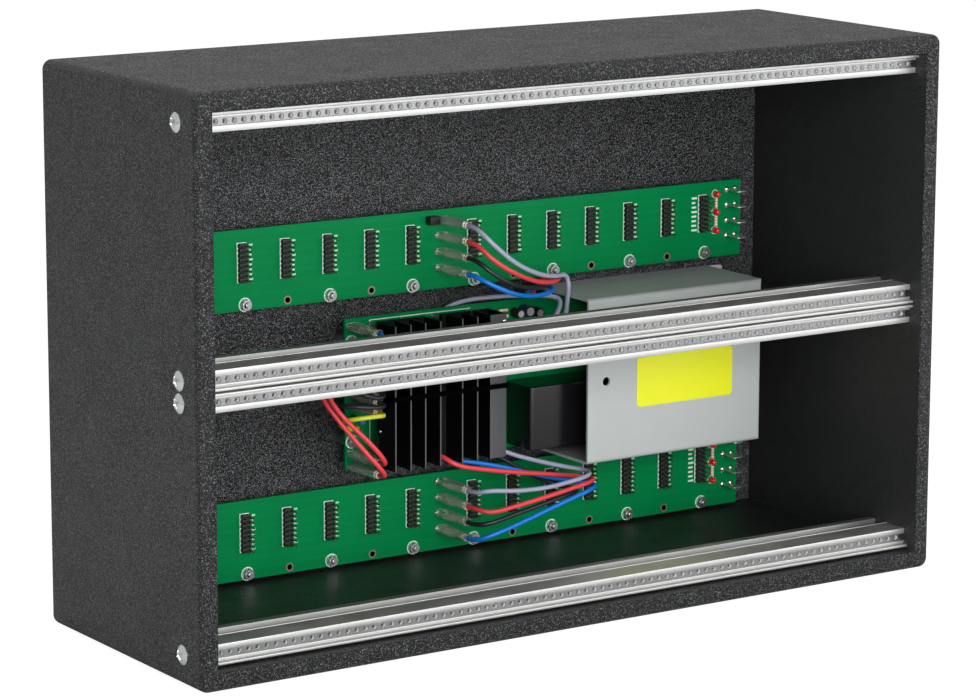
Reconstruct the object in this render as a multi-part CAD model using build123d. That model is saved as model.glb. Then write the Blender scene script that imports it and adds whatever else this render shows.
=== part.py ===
from build123d import *
from math import radians, tan
import os

# Subrack card cage: a black case built of boards, open at the front, with two rows for plug-in
# circuit modules. Each row has a lower and an upper rail, a tapped strip in each rail for the
# module panels' screws, and a bus board on the rear board. A power supply sits between the bus
# boards, with its mains side under a folded cover.
#
# Millimetres. X runs to the right seen from the front, Y to the back and Z up. The pieces are made
# with Y counted from the front edge of the case, and write() moves them all back by one amount, so
# that the origin lies in the middle of the whole, on the surface that the case stands on.
#
# Small round things are prisms with few sides, which keeps the facets few. The holes that a module
# panel is screwed to at its corners are truly round. A wire follows straight runs joined by arcs,
# from the face of its sleeve to the face of the supply board.

# ---- driving dimensions ----

# case
case_width = 448.0
case_height = 287.4
case_depth = 155.0
board = 9.7  # side, top and bottom boards
rear_thick = 8.5
corner_radius = 5.0
edge_chamfer = 1.5

# rows of panel screws
row_height = 122.5  # between the two rows of screws of one module row
row_gap = 10.85  # between the two middle rows of screws
pitch = 5.08  # one width unit
holes = 83
hole_diameter = 2.5
strip_shift = 1.4  # the strips have slid a little to the right in their slots

# rail section, Y from the front edge of the case, Z from the row of screws
rail_half = 4.9
rail_front = 9.7
rail_lip_front = 7.0
rail_lip = 1.4
slot_half = 1.9
slot_lip = 1.2
pocket_half = 3.2
pocket_back = 13.1
relief_half = 1.7
relief_back = 15.3
block_back = 25.0
groove_back = 34.0
groove_web = 2.0
hook_rise = 5.2
hook_thick = 1.5
hook_back = 39.0
strip_half = 3.0
strip_thick = 2.0
screw_y = 18.3
screw_radius = 2.1
screw_clearance = 2.7  # radius of the holes in the side boards
screw_reach = 14.0  # into the rail
screw_head_radius = 5.0
screw_head_thick = 2.0

# bus boards
bus_left, bus_right = -197.4, 198.7
bus_height = 42.2
bus_front = 138.0
circuit_board = 1.6
bus_bottoms = {"lower": 11.5, "upper": 153.2}
connector_step = 5 * pitch
connector_firsts = -171.1, 20.0  # first of each half's seven
connectors_per_half = 7
connector_width, connector_height, connector_deep = pitch, 8 * 2.54, 2.5
connector_rise = 25.0  # from the lower edge of the board to the middle of a connector
fixing_shift = 1.5
fixing_rise = 3.1
fixing_radius = 1.5
tab_width, tab_thick, tab_long = 6.3, 0.8, 11.6
tab_rises = 11.3, 19.9, 28.5, 37.1
middle_tabs_x = 0.65
right_tabs_x = 191.7
lamp_x = 181.0
lamp_rises = 15.0, 25.3, 35.3
resistor_rises = 20.2, 30.3

# sleeves of the push-on terminals
sleeve_width, sleeve_high, sleeve_long = 8.0, 4.4, 25.0
sleeve_back_gap = 1.0  # from the board to the end of the sleeve

# power supply
supply_left, supply_right = -61.6, 120.0
supply_bottom, supply_top = 63.0, 143.5
supply_front = 134.0
supply_corners = [(x, z) for x in (-57.6, 115.0) for z in (78.0, 131.0)]
sink_bottom, sink_top = 66.7, 143.5
fin_tips = 102.0
fin_thick = 1.3
sink_base_front, sink_base_back = 117.0, 120.0
left_fins = -50.4, -41.1, -32.1, -22.8
right_fins = -9.2, 0.2, 9.1
right_flange_left, right_flange_right = 10.6, 18.6
right_base_left = -12.4
flange_front, flange_thick = 102.5, 1.5
tie_z, tie_high, tie_thick = 105.2, 2.5, 0.8
module_left, module_right = 39.0, 108.0
module_bottom, module_top = 65.5, 99.9
module_front = 110.0
module_radius = 3.0
cover_left, cover_right = 66.5, 182.6
cover_bottom, cover_top = 57.2, 146.9
cover_front = 96.0
cover_sheet = 1.4
cover_bend = 1.5
cover_foot_right = 192.0
cover_hole = 78.5, 101.4
cover_hole_radius = 2.35
label_left, label_right = 98.5, 162.5
label_bottom, label_top = 85.0, 112.3
label_thick = 0.2

# terminals along the left edge of the supply board
supply_tabs_x = -57.0
supply_tab_heights = 65.0, 71.5, 97.8, 103.5, 109.0, 139.5

# wires: section, and the corners of each route from end to end
wire_radius = 1.25
wire_sides = 3
arc_share = 0.45  # of the shorter run at a corner
wire_routes = {
    "upper_grey_wire": [
        (0.65, 112, 190.3), (0.65, 104, 190.3), (6, 96, 181.6), (21, 96.7, 169.8),
        (42, 103.5, 161), (56, 110, 158.6), (63.8, 113.5, 158.4), (67, 115.3, 153.3),
        (64, 111.8, 146.3), (58.5, 105.7, 136), (53, 109.8, 123.3), (51, 122.5, 118),
        (51, 134, 118),
    ],
    "upper_red_wire": [
        (0.65, 112, 181.7), (0.65, 104, 181.7), (6.5, 96.2, 173), (22, 97, 164),
        (44, 106.5, 156.2), (63, 117.5, 154.8), (67, 127.5, 155), (63, 137.5, 152),
        (60, 141.2, 142), (60, 141.2, 131), (60, 135.6, 131),
    ],
    "upper_black_wire": [
        (0.65, 112, 173.1), (0.65, 104, 173.1), (6.5, 97.5, 166.3), (19.5, 98.3, 158.8),
        (38, 107, 153.9), (54, 117, 152.5), (58, 126, 152.6), (53.5, 135, 151.5),
        (48.5, 141.2, 144), (48, 141.2, 131), (48, 135.6, 131),
    ],
    "upper_blue_wire": [
        (0.65, 112, 164.5), (0.65, 104, 164.5), (8.5, 97, 159), (24, 99.8, 152.8),
        (42, 109.3, 149.1), (60, 118.2, 149), (64, 127.5, 149.8), (59.5, 137, 149.3),
        (54.5, 141.2, 142), (54, 141.2, 130), (54, 135.6, 130),
    ],
    "link_grey_wire": [
        (-4, 135.6, 131), (-4, 141.2, 131), (1, 141.2, 140), (15, 140.5, 144.8),
        (36, 135.3, 145.9), (54, 124, 146.4), (61.5, 116.5, 145.9), (59, 110.8, 142),
        (47.5, 104.5, 133.5), (41.5, 109, 122.5), (40, 121, 117.5), (40, 134, 117.5),
    ],
    "lower_grey_wire": [
        (0.65, 112, 48.6), (0.65, 104, 48.6), (5.5, 97.7, 50.8), (20, 97, 48.7),
        (41, 98.5, 47.3), (61, 102, 48), (73.5, 104.9, 48.9), (78.3, 110, 49.2),
        (77, 117, 49.8), (69, 120.7, 51.3), (52, 122.7, 56.3), (38, 124.5, 61),
        (30, 128, 64.8), (30, 134, 64.8),
    ],
    "lower_red_wire": [
        (0.65, 112, 40), (0.65, 104, 40), (6, 97, 38.6), (20, 95.7, 40.8),
        (42, 98, 42.8), (61, 101.2, 44.4), (73, 103, 45.6), (79, 107.3, 45.8),
        (80, 114, 45.7), (75, 119, 45.9), (66, 117.5, 47.6), (49.5, 112.3, 51.5),
        (25, 108, 56.3), (3, 104, 61.5), (-12, 103, 65.2), (-16.8, 109.5, 69.6),
        (-17.3, 121.5, 70.3), (-17.3, 134, 70.3),
    ],
    "lower_black_wire": [
        (0.65, 112, 31.4), (0.65, 104, 31.4), (6, 98.5, 32.6), (19, 97, 35.8),
        (38, 98.3, 38.7), (56, 102.2, 40.5), (66.5, 106, 40.8), (70.7, 111.5, 40.4),
        (70, 118, 40.2), (63.5, 122.2, 41.8), (50, 124, 48.4), (36, 125, 56.5),
        (24, 127, 64.5), (24, 134, 64.5),
    ],
    "lower_blue_wire": [
        (0.65, 112, 22.8), (0.65, 104, 22.8), (7, 98, 26.3), (22, 96.5, 30.5),
        (42, 97.8, 35.5), (61, 100.5, 39.3), (73, 102.8, 41.3), (79.8, 107, 42),
        (81.5, 113.8, 42), (77.5, 119.4, 42.3), (69, 120, 44.2), (52, 117.7, 48.9),
        (29, 114.3, 56.5), (9, 113, 62.3), (-6, 118.5, 64.8), (-6, 134, 64.8),
    ],
    "left_red_wire_a": [
        (-57, 108, 65), (-57, 101.3, 65), (-61.5, 97.6, 70), (-71, 98.8, 80.5),
        (-84, 103.5, 97.5), (-90.5, 111, 110), (-84, 120.5, 118), (-70, 124.5, 121.3),
        (-57, 124.8, 121.5), (-57, 134, 121.5),
    ],
    "left_red_wire_b": [
        (-57, 108, 71.5), (-57, 101.3, 71.5), (-61, 97, 76.3), (-70.5, 96.9, 86.7),
        (-83.5, 100.8, 100), (-89, 107.5, 111.5), (-84, 116, 121), (-70, 121.5, 125.4),
        (-57, 124.5, 125.6), (-57, 134, 125.6),
    ],
    "left_black_wire_a": [
        (-57, 108, 109), (-57, 101.5, 109), (-63, 97.3, 107.8), (-72.5, 100.5, 111),
        (-77, 110.5, 115), (-69, 120, 115), (-57, 124, 114), (-57, 134, 114),
    ],
    "left_black_wire_b": [
        (-57, 108, 103.5), (-57, 101.5, 103.5), (-63, 96.8, 103.3), (-75, 98.8, 104.8),
        (-82, 108.5, 104.5), (-78.5, 119, 98.5), (-68, 124.5, 92.5), (-57, 125.3, 91.5),
        (-57, 134, 91.5),
    ],
    "earth_yellow_green_wire": [
        (-57, 108, 97.8), (-57, 101.5, 97.8), (-63, 97.9, 98.9), (-75, 100.5, 98.2),
        (-79.5, 109.5, 96), (-73, 119, 89.5), (-57, 124, 86.5), (-57, 134, 86.5),
    ],
    "left_blue_wire": [
        (-57, 108, 139.5), (-57, 101.5, 139.5), (-61, 97.5, 132), (-63.5, 101.5, 124),
        (-62, 112, 118), (-58, 123, 117.7), (-58, 134, 117.7),
    ],
}

# mains inlet in the rear board
inlet_x, inlet_z = 150.0, 105.0
inlet_width, inlet_high = 27.5, 20.0
inlet_flange_width, inlet_flange_high, inlet_flange_thick = 50.0, 24.0, 3.0
inlet_front = 133.0
inlet_wall = 2.0
inlet_screw_head = 1.6

# worked out from the above
half_width = case_width / 2
inner_half = half_width - board
rear_front = case_depth - rear_thick
middle = case_height / 2
screw_rows = {
    "bottom_rail": (middle - row_gap / 2 - row_height, -1),
    "lower_middle_rail": (middle - row_gap / 2, +1),
    "upper_middle_rail": (middle + row_gap / 2, -1),
    "top_rail": (middle + row_gap / 2 + row_height, +1),
}  # height, and +1 where the rail's lip is on top or -1 where it is below
front_y = -(case_depth + inlet_flange_thick + inlet_screw_head) / 2

os.makedirs("parts", exist_ok=True)


def write(name, *solids):
    """Writes one node, moved from the front edge's count of Y to the part's own frame."""
    group = Part() + [*solids]
    export_step(Pos(0, front_y, 0) * group, f"parts/{name}.step")


def block(x, y, z):
    """Box between two limits along each axis."""
    size = x[1] - x[0], y[1] - y[0], z[1] - z[0]
    return Pos((x[0] + x[1]) / 2, (y[0] + y[1]) / 2, (z[0] + z[1]) / 2) * Box(*size)


def rod(x, y, z, radius, sides, turn=0):
    """Prism along the one axis that is given as two limits, about the other two coordinates."""
    if isinstance(x, tuple):
        plane, length = Plane((x[0], y, z), z_dir=(1, 0, 0), x_dir=(0, 1, 0)), x[1] - x[0]
    elif isinstance(y, tuple):
        plane, length = Plane((x, y[0], z), z_dir=(0, 1, 0), x_dir=(1, 0, 0)), y[1] - y[0]
    else:
        plane, length = Plane((x, y, z[0]), z_dir=(0, 0, 1), x_dir=(1, 0, 0)), z[1] - z[0]
    return extrude(plane * RegularPolygon(radius, sides, rotation=turn), amount=length)


# ---- case ----


def case_outline():
    """The whole case as one block, its long corners rounded and its front and back edges eased."""
    case = block((-half_width, half_width), (0, case_depth), (0, case_height))
    case = fillet(case.edges().filter_by(Axis.Y), corner_radius)
    ends = case.faces().sort_by(Axis.Y)
    return chamfer([*ends[0].edges(), *ends[-1].edges()], edge_chamfer)


def rail_screw_holes(side):
    """Clearance through one side board for the four rail screws."""
    x = tuple(sorted((side * inner_half, side * half_width)))
    return [rod(x, screw_y, z, screw_clearance, 6) for z, lip in screw_rows.values()]


def write_case():
    whole = case_outline()
    depth = 0, case_depth
    for name, side in ("left", -1), ("right", 1):
        x = tuple(sorted((side * inner_half, side * half_width)))
        panel = whole & block(x, depth, (0, case_height))
        write(f"{name}_side_board", panel - rail_screw_holes(side))
    inside = -inner_half, inner_half
    write("bottom_board", whole & block(inside, depth, (0, board)))
    write("top_board", whole & block(inside, depth, (case_height - board, case_height)))
    rear = block(inside, (rear_front, case_depth), (board, case_height - board))
    opening = block(
        (inlet_x - inlet_width / 2, inlet_x + inlet_width / 2),
        (rear_front, case_depth),
        (inlet_z - inlet_high / 2, inlet_z + inlet_high / 2),
    )
    write("rear_board", rear - opening)


# ---- rails ----


def rail(z, lip):
    """One extruded rail: a lip along the front, a slot that widens to the strip's pocket, a screw
    channel in the solid front part, and behind it a groove and a hooked flange on the side of the
    module row."""
    outline = [
        (rail_lip_front, rail_half),
        (rail_lip_front, rail_half - rail_lip),
        (rail_front, rail_half - rail_lip),
        (rail_front, slot_half),
        (rail_front + slot_lip, slot_half),
        (rail_front + slot_lip, pocket_half),
        (pocket_back, pocket_half),
        (pocket_back, relief_half),
        (relief_back, relief_half),
        (relief_back, -relief_half),
        (pocket_back, -relief_half),
        (pocket_back, -pocket_half),
        (rail_front + slot_lip, -pocket_half),
        (rail_front + slot_lip, -slot_half),
        (rail_front, -slot_half),
        (rail_front, -rail_half),
        (block_back, -rail_half),
        (block_back, rail_half - groove_web),
        (groove_back, rail_half - groove_web),
        (groove_back, -hook_rise),
        (hook_back, -hook_rise),
        (hook_back, hook_thick - hook_rise),
        (groove_back + hook_thick, hook_thick - hook_rise),
        (groove_back + hook_thick, rail_half),
    ]
    start = Plane((-inner_half, 0, z), x_dir=(0, 1, 0), z_dir=(1, 0, 0))
    points = [(y, lip * height) for y, height in outline]
    section = make_face(Polyline(*points, close=True))
    channel = rod((-inner_half, inner_half), screw_y, z, screw_radius, 6)
    return extrude(start * section, amount=2 * inner_half) - channel


def tapped_strip(z):
    """Flat strip with one tapped hole for each width unit, held behind the lips of the slot."""
    length = holes * pitch
    front = rail_front + slot_lip
    y = front, front + strip_thick
    strip = block(
        (strip_shift - length / 2, strip_shift + length / 2), y, (z - strip_half, z + strip_half)
    )
    plane = Plane((strip_shift, front, z), x_dir=(1, 0, 0), z_dir=(0, 1, 0))
    last = (holes - 1) / 2 * pitch
    corner_holes = Locations((-last, 0), (last, 0))
    between = GridLocations(pitch, 1, holes - 2, 1)
    cuts = Sketch() + [at * Circle(hole_diameter / 2) for at in corner_holes]
    cuts += [at * Rectangle(hole_diameter, hole_diameter) for at in between]
    return strip - extrude(plane * cuts, amount=strip_thick)


def rail_screw(z, side):
    """Raised-head screw through a side board into the rail's channel."""
    inner, outer = inner_half - screw_reach, half_width
    shank = rod((inner, outer), screw_y, z, screw_radius, 6)
    start = Plane((outer, screw_y, z), x_dir=(0, 1, 0), z_dir=(1, 0, 0))
    head = extrude(start * RegularPolygon(screw_head_radius, 8), screw_head_thick, taper=40)
    screw = shank + head
    return screw if side > 0 else mirror(screw, Plane.YZ)


def write_rails():
    for name, (z, lip) in screw_rows.items():
        write(name, rail(z, lip))
        write(name.replace("_rail", "_strip"), tapped_strip(z))
    write("rail_screws", *[rail_screw(z, side) for side in (-1, 1) for z, lip in screw_rows.values()])


# ---- bus boards ----


def connector_places():
    return [
        first + i * connector_step for first in connector_firsts for i in range(connectors_per_half)
    ]


def fixing_places():
    """Every second fixing hole, from the first of each half, has a stand-off and a nut."""
    left, right = connector_places()[:connectors_per_half], connector_places()[connectors_per_half:]
    return [x + fixing_shift for x in left[::2] + right[::2]]


def spare_places():
    left, right = connector_places()[:connectors_per_half], connector_places()[connectors_per_half:]
    return [x + fixing_shift for x in left[1::2] + right[1::2]]


def stand_off(x, z, front):
    """Hexagonal post on the rear board, with a stud that goes through a circuit board."""
    post = rod(x, (front + circuit_board, rear_front), z, 3.0, 6)
    return post + rod(x, (front - 4.0, front + circuit_board), z, fixing_radius, 4)


def nut(x, z, front):
    outside = rod(x, (front - 2.4, front), z, 3.2, 6)
    return outside - rod(x, (front - 2.4, front), z, fixing_radius, 4)


def sleeve(x, z, front):
    """Insulating sleeve of a push-on terminal, with the slot that its tab fills."""
    end = front - sleeve_back_gap
    start = Plane((x, end, z), x_dir=(1, 0, 0), z_dir=(0, -1, 0))
    section = chamfer(Rectangle(sleeve_width, sleeve_high).vertices(), sleeve_high * 0.3)
    body = extrude(start * section, amount=sleeve_long)
    slot_deep = tab_long - sleeve_back_gap
    return body - extrude(start * Rectangle(tab_width, tab_thick), amount=slot_deep)


def tab(x, z, front):
    """Flat blade of a push-on terminal, standing off the board."""
    width, thick = tab_width / 2, tab_thick / 2
    return block((x - width, x + width), (front - tab_long, front), (z - thick, z + thick))


def write_bus(row, bottom):
    """The parts of one bus board that are its own: board, headers and terminals."""
    rear = bus_front + circuit_board
    plate = block((bus_left, bus_right), (bus_front, rear), (bottom, bottom + bus_height))
    fixing_z = bottom + fixing_rise
    every = fixing_places() + spare_places()
    plate -= [rod(x, (bus_front, rear), fixing_z, fixing_radius, 4) for x in every]
    write(f"{row}_bus_board", plate)
    middle_z = bottom + connector_rise
    half = connector_width / 2, connector_height / 2
    connectors = [
        block(
            (x - half[0], x + half[0]),
            (bus_front - connector_deep, bus_front),
            (middle_z - half[1], middle_z + half[1]),
        )
        for x in connector_places()
    ]
    write(f"{row}_connectors", *connectors)
    heights = [bottom + rise for rise in tab_rises]
    tabs = [tab(x, z, bus_front) for x in (middle_tabs_x, right_tabs_x) for z in heights]
    write(f"{row}_bus_tabs", *tabs)
    write(f"{row}_feed_sleeves", *[sleeve(middle_tabs_x, z, bus_front) for z in heights])


def write_bus_small_parts():
    """What both bus boards have many of, each kind as one group."""
    bottoms = bus_bottoms.values()
    places = [(x, bottom + fixing_rise) for bottom in bottoms for x in fixing_places()]
    write("bus_stand_offs", *[stand_off(x, z, bus_front) for x, z in places])
    nuts = [nut(x, z, bus_front) for x, z in places]
    write("board_nuts", *nuts, *[nut(x, z, supply_front) for x, z in supply_corners])
    lamp_y = bus_front - 5, bus_front
    heights = [bottom + rise for bottom in bottoms for rise in lamp_rises]
    write("bus_lamps", *[rod(lamp_x, lamp_y, z, 1.7, 8) for z in heights])
    heights = [bottom + rise for bottom in bottoms for rise in resistor_rises]
    resistors = [rod(lamp_x, bus_front - 1.1, (z - 3, z + 3), 1.1, 6) for z in heights]
    write("bus_resistors", *resistors)


# ---- power supply ----


def heat_sink(fins, left, right, flange=False):
    """Extruded heat sink with upright fins; the right one ends in a wall with a broad flange."""
    plan = Sketch() + Pos((left + right) / 2, (sink_base_front + sink_base_back) / 2) * Rectangle(
        right - left, sink_base_back - sink_base_front
    )
    fin_long = sink_base_back - fin_tips
    for x in fins:
        plan += Pos(x, fin_tips + fin_long / 2) * Rectangle(fin_thick, fin_long)
    if flange:
        wall_x = right - flange_thick / 2
        wall_long = sink_base_back - flange_front
        plan += Pos(wall_x, flange_front + wall_long / 2) * Rectangle(flange_thick, wall_long)
        broad = right - right_flange_left
        plan += Pos(right - broad / 2, flange_front + flange_thick / 2) * Rectangle(
            broad, flange_thick
        )
    return Pos(0, 0, sink_bottom) * extrude(plan, amount=sink_top - sink_bottom)


def write_heat_sinks():
    half_fin = fin_thick / 2
    left_edges = left_fins[0] - half_fin, left_fins[-1] + half_fin
    right_edges = right_base_left, right_flange_right
    write("left_heat_sink", heat_sink(left_fins, *left_edges))
    write("right_heat_sink", heat_sink(right_fins, *right_edges, flange=True))
    pins = [
        rod(x, (sink_base_back, supply_front), z, 1.2, 4)
        for x in (-46.0, -27.0, -8.0, 14.0)
        for z in (70.0, 140.0)
    ]
    write("heat_sink_pins", *pins)
    inside = block(
        (left_edges[0], right_edges[1]),
        (fin_tips, sink_base_back),
        (tie_z - tie_high / 2, tie_z + tie_high / 2),
    )
    outside = block(
        (left_edges[0] - tie_thick, right_edges[1] + tie_thick),
        (fin_tips - tie_thick, sink_base_back + tie_thick),
        (tie_z - tie_high / 2, tie_z + tie_high / 2),
    )
    write("heat_sink_tie", outside - inside)
    regulators = [regulator(x, z) for x, z in ((-36.6, 83.0), (-36.6, 126.0), (3.0, 83.0))]
    write("voltage_regulators", *regulators)


def regulator(x, z):
    """Three-lead power package, flat against the back of a heat sink, with its leads to the board."""
    back = sink_base_back
    package = block((x - 5, x + 5), (back, back + 1.3), (z - 8, z + 8))
    package += block((x - 5, x + 5), (back, back + 4.4), (z - 8, z + 1.5))
    for step in (-1, 0, 1):
        lead_x = x + step * 2.54
        package += block((lead_x - 0.4, lead_x + 0.4), (back + 2, supply_front), (z - 8, z - 7))
    return package


def write_supply():
    rear = supply_front + circuit_board
    plate = block((supply_left, supply_right), (supply_front, rear), (supply_bottom, supply_top))
    plate -= [rod(x, (supply_front, rear), z, fixing_radius, 4) for x, z in supply_corners]
    write("supply_board", plate)
    write("supply_stand_offs", *[stand_off(x, z, supply_front) for x, z in supply_corners])
    write("supply_tabs", *[tab(supply_tabs_x, z, supply_front) for z in supply_tab_heights])
    write("supply_sleeves", *[sleeve(supply_tabs_x, z, supply_front) for z in supply_tab_heights])
    body = block(
        (module_left, module_right), (module_front, supply_front), (module_bottom, module_top)
    )
    upright = body.edges().filter_by(Axis.Z).sort_by(Axis.Y)[:2]
    write("power_module", fillet(upright, module_radius))
    capacitors = [rod(x, (104.0, supply_front), 121.0, 9.0, 12) for x in (82.0, 102.0)]
    write("supply_capacitors", *capacitors)


def folded_cover():
    """One sheet folded into a front with three walls, open to the left, and a foot on the rear board."""
    shell = block((cover_left, cover_right), (cover_front, rear_front), (cover_bottom, cover_top))
    front_edges = shell.faces().sort_by(Axis.Y)[0].edges()
    folds = front_edges.filter_by(Axis.X) + front_edges.filter_by(Axis.Z).sort_by(Axis.X)[-1:]
    shell = fillet(folds, cover_bend)
    shell -= block(
        (cover_left, cover_right - cover_sheet),
        (cover_front + cover_sheet, rear_front),
        (cover_bottom + cover_sheet, cover_top - cover_sheet),
    )
    shell += block(
        (cover_right - cover_sheet, cover_foot_right),
        (rear_front - cover_sheet, rear_front),
        (cover_bottom, cover_top),
    )
    x, z = cover_hole
    start = Plane((x, cover_front, z), x_dir=(1, 0, 0), z_dir=(0, 1, 0))
    return shell - extrude(start * RegularPolygon(cover_hole_radius, 12), amount=cover_sheet)


def write_cover():
    write("supply_cover", folded_cover())
    y = cover_front - label_thick, cover_front
    label = block((label_left, label_right), y, (label_bottom, label_top))
    write("cover_label", chamfer(label.edges().filter_by(Axis.Y), 1.5))
    foot_front = rear_front - cover_sheet
    x = (cover_right + cover_foot_right) / 2 + 0.5
    heads = [rod(x, (foot_front - 1.8, foot_front), z, 3.0, 8) for z in (70.0, 134.0)]
    write("cover_screws", *heads)


def wire(points):
    """Wire along straight runs joined by arcs, each as wide as the two runs at its corner allow."""
    corners = [Vector(*point) for point in points]
    runs = [end - start for start, end in zip(corners, corners[1:])]
    radii = [
        arc_share * min(before.length, after.length) / tan(radians(before.get_angle(after)) / 2)
        for before, after in zip(runs, runs[1:])
    ]
    path = FilletPolyline(*corners, radius=radii)
    start = Plane(corners[0], z_dir=runs[0])
    return sweep(start * RegularPolygon(wire_radius, wire_sides), path=path), path.length, radii


def write_wires():
    section = RegularPolygon(wire_radius, wire_sides).area
    for name, points in wire_routes.items():
        body, length, radii = wire(points)
        share = body.volume / (section * length)
        print(f"{name}: length {length:.0f}, volume {share:.3f} of section by length, radii", end=" ")
        print(*[f"{radius:.1f}" for radius in radii])
        write(name, body)


def write_inlet():
    """Appliance inlet: a flange outside, and a body through the rear board with a recess and pins."""
    outside = case_depth + inlet_flange_thick
    half = inlet_width / 2, inlet_high / 2
    body = block(
        (inlet_x - half[0], inlet_x + half[0]),
        (inlet_front, outside),
        (inlet_z - half[1], inlet_z + half[1]),
    )
    flange = block(
        (inlet_x - inlet_flange_width / 2, inlet_x + inlet_flange_width / 2),
        (case_depth, outside),
        (inlet_z - inlet_flange_high / 2, inlet_z + inlet_flange_high / 2),
    )
    flange = chamfer(flange.edges().filter_by(Axis.Y), 6.0)
    recess = block(
        (inlet_x - half[0] + inlet_wall, inlet_x + half[0] - inlet_wall),
        (inlet_front + 4.0, outside),
        (inlet_z - half[1] + inlet_wall, inlet_z + half[1] - inlet_wall),
    )
    lower_corners = recess.edges().filter_by(Axis.Y).sort_by(Axis.Z)[:2]
    recess = chamfer(lower_corners, 4.0)
    pin_places = [(inlet_x - 7, inlet_z + 2), (inlet_x, inlet_z - 2), (inlet_x + 7, inlet_z + 2)]
    pins = [
        block((x - 2, x + 2), (inlet_front - 8.0, outside - 3.0), (z - 1, z + 1))
        for x, z in pin_places
    ]
    write("mains_inlet", body + flange - recess - pins)
    write("mains_inlet_pins", *pins)
    screws = [
        rod(inlet_x + side * 20.0, (outside, outside + inlet_screw_head), inlet_z, 2.8, 8)
        for side in (-1, 1)
    ]
    write("mains_inlet_screws", *screws)


write_case()
write_rails()
for row, bottom in bus_bottoms.items():
    write_bus(row, bottom)
write_bus_small_parts()
write_heat_sinks()
write_supply()
write_wires()
write_cover()
write_inlet()
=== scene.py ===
import bmesh
import bpy
import numpy as np
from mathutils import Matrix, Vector


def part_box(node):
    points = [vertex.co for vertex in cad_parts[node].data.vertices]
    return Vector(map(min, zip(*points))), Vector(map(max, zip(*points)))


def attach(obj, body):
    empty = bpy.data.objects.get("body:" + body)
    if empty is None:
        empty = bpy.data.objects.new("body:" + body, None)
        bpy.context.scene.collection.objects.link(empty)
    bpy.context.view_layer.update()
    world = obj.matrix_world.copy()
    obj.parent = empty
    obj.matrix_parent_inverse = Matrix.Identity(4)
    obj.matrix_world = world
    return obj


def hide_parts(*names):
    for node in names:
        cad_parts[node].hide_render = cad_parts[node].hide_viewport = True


# Looks of the subrack card cage. Shapes are worked out in millimetres with Y counted from the front
# edge of the case, as in the part's source, and placed() turns them into metres in the part's frame.

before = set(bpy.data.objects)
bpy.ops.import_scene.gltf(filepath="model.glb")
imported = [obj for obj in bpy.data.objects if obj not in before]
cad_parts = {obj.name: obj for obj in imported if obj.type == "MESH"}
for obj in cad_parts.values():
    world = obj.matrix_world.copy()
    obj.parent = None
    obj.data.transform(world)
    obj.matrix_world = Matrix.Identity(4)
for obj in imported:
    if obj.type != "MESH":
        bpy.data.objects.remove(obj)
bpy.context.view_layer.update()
front_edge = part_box("left_side_board")[0].y * 1000


def placed(points):
    """Millimetres from the front edge of the case to metres in the part's frame."""
    return (np.asarray(points, float) + (0, front_edge, 0)) / 1000


def limits(node):
    """A node's box in millimetres, as a pair of numbers along each axis."""
    low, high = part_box(node)
    shift = (0, front_edge, 0)
    return [(low[i] * 1000 - shift[i], high[i] * 1000 - shift[i]) for i in range(3)]


# ---- camera ----

camera = bpy.data.objects.new("camera", bpy.data.cameras.new("camera"))
bpy.context.scene.collection.objects.link(camera)
camera.data.lens, camera.data.sensor_width = 139.12, 36.0
camera.data.clip_start, camera.data.clip_end = 0.05, 50
camera.location = (-1.06657, -1.58620, 0.50876)
camera.rotation_euler = np.radians((78.782, -0.162, -33.679))
bpy.context.scene.camera = camera

# ---- shader helpers ----


class Nodes:
    """A node tree with short calls to add nodes and join sockets."""

    def __init__(self, tree):
        self.tree = tree

    def add(self, kind, inputs=(), **settings):
        node = self.tree.nodes.new(kind)
        for key, value in settings.items():
            setattr(node, key, value)
        for key, value in dict(inputs).items():
            self.set(node.inputs[key], value)
        return node

    def set(self, socket, value):
        if isinstance(value, bpy.types.NodeSocket):
            self.tree.links.new(value, socket)
        else:
            socket.default_value = value

    def math(self, kind, a, b=0.0, clamp=False):
        return self.add("ShaderNodeMath", {0: a, 1: b}, operation=kind, use_clamp=clamp).outputs[0]

    def ramp(self, value, stops):
        """Colour ramp between two (place, colour) stops."""
        node = self.add("ShaderNodeValToRGB", {0: value})
        for element, (place, colour) in zip(node.color_ramp.elements, stops):
            element.position = place
            element.color = (*colour, 1)
        return node.outputs[0]

    def mix(self, share, a, b):
        """Blend of two colours, each a socket or three numbers."""
        node = self.add("ShaderNodeMix", data_type="RGBA")
        for index, value in ((0, share), (6, a), (7, b)):
            self.set(node.inputs[index], (*value, 1) if isinstance(value, tuple) else value)
        return node.outputs[2]

    def span(self, value, low, high, to_low=0.0, to_high=1.0):
        numbers = {0: value, 1: low, 2: high, 3: to_low, 4: to_high}
        return self.add("ShaderNodeMapRange", numbers).outputs[0]

    def noise(self, vector, scale, detail, rough):
        inputs = {"Vector": vector, "Scale": scale, "Detail": detail, "Roughness": rough}
        return self.add("ShaderNodeTexNoise", inputs).outputs[0]

    def cells(self, vector, scale):
        """Colour and distance of the nearest of many scattered points."""
        return self.add("ShaderNodeTexVoronoi", {"Vector": vector, "Scale": scale}, feature="F1").outputs

    def apart(self, vector):
        """X, Y and Z of a vector."""
        return self.add("ShaderNodeSeparateXYZ", {0: vector}).outputs


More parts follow.
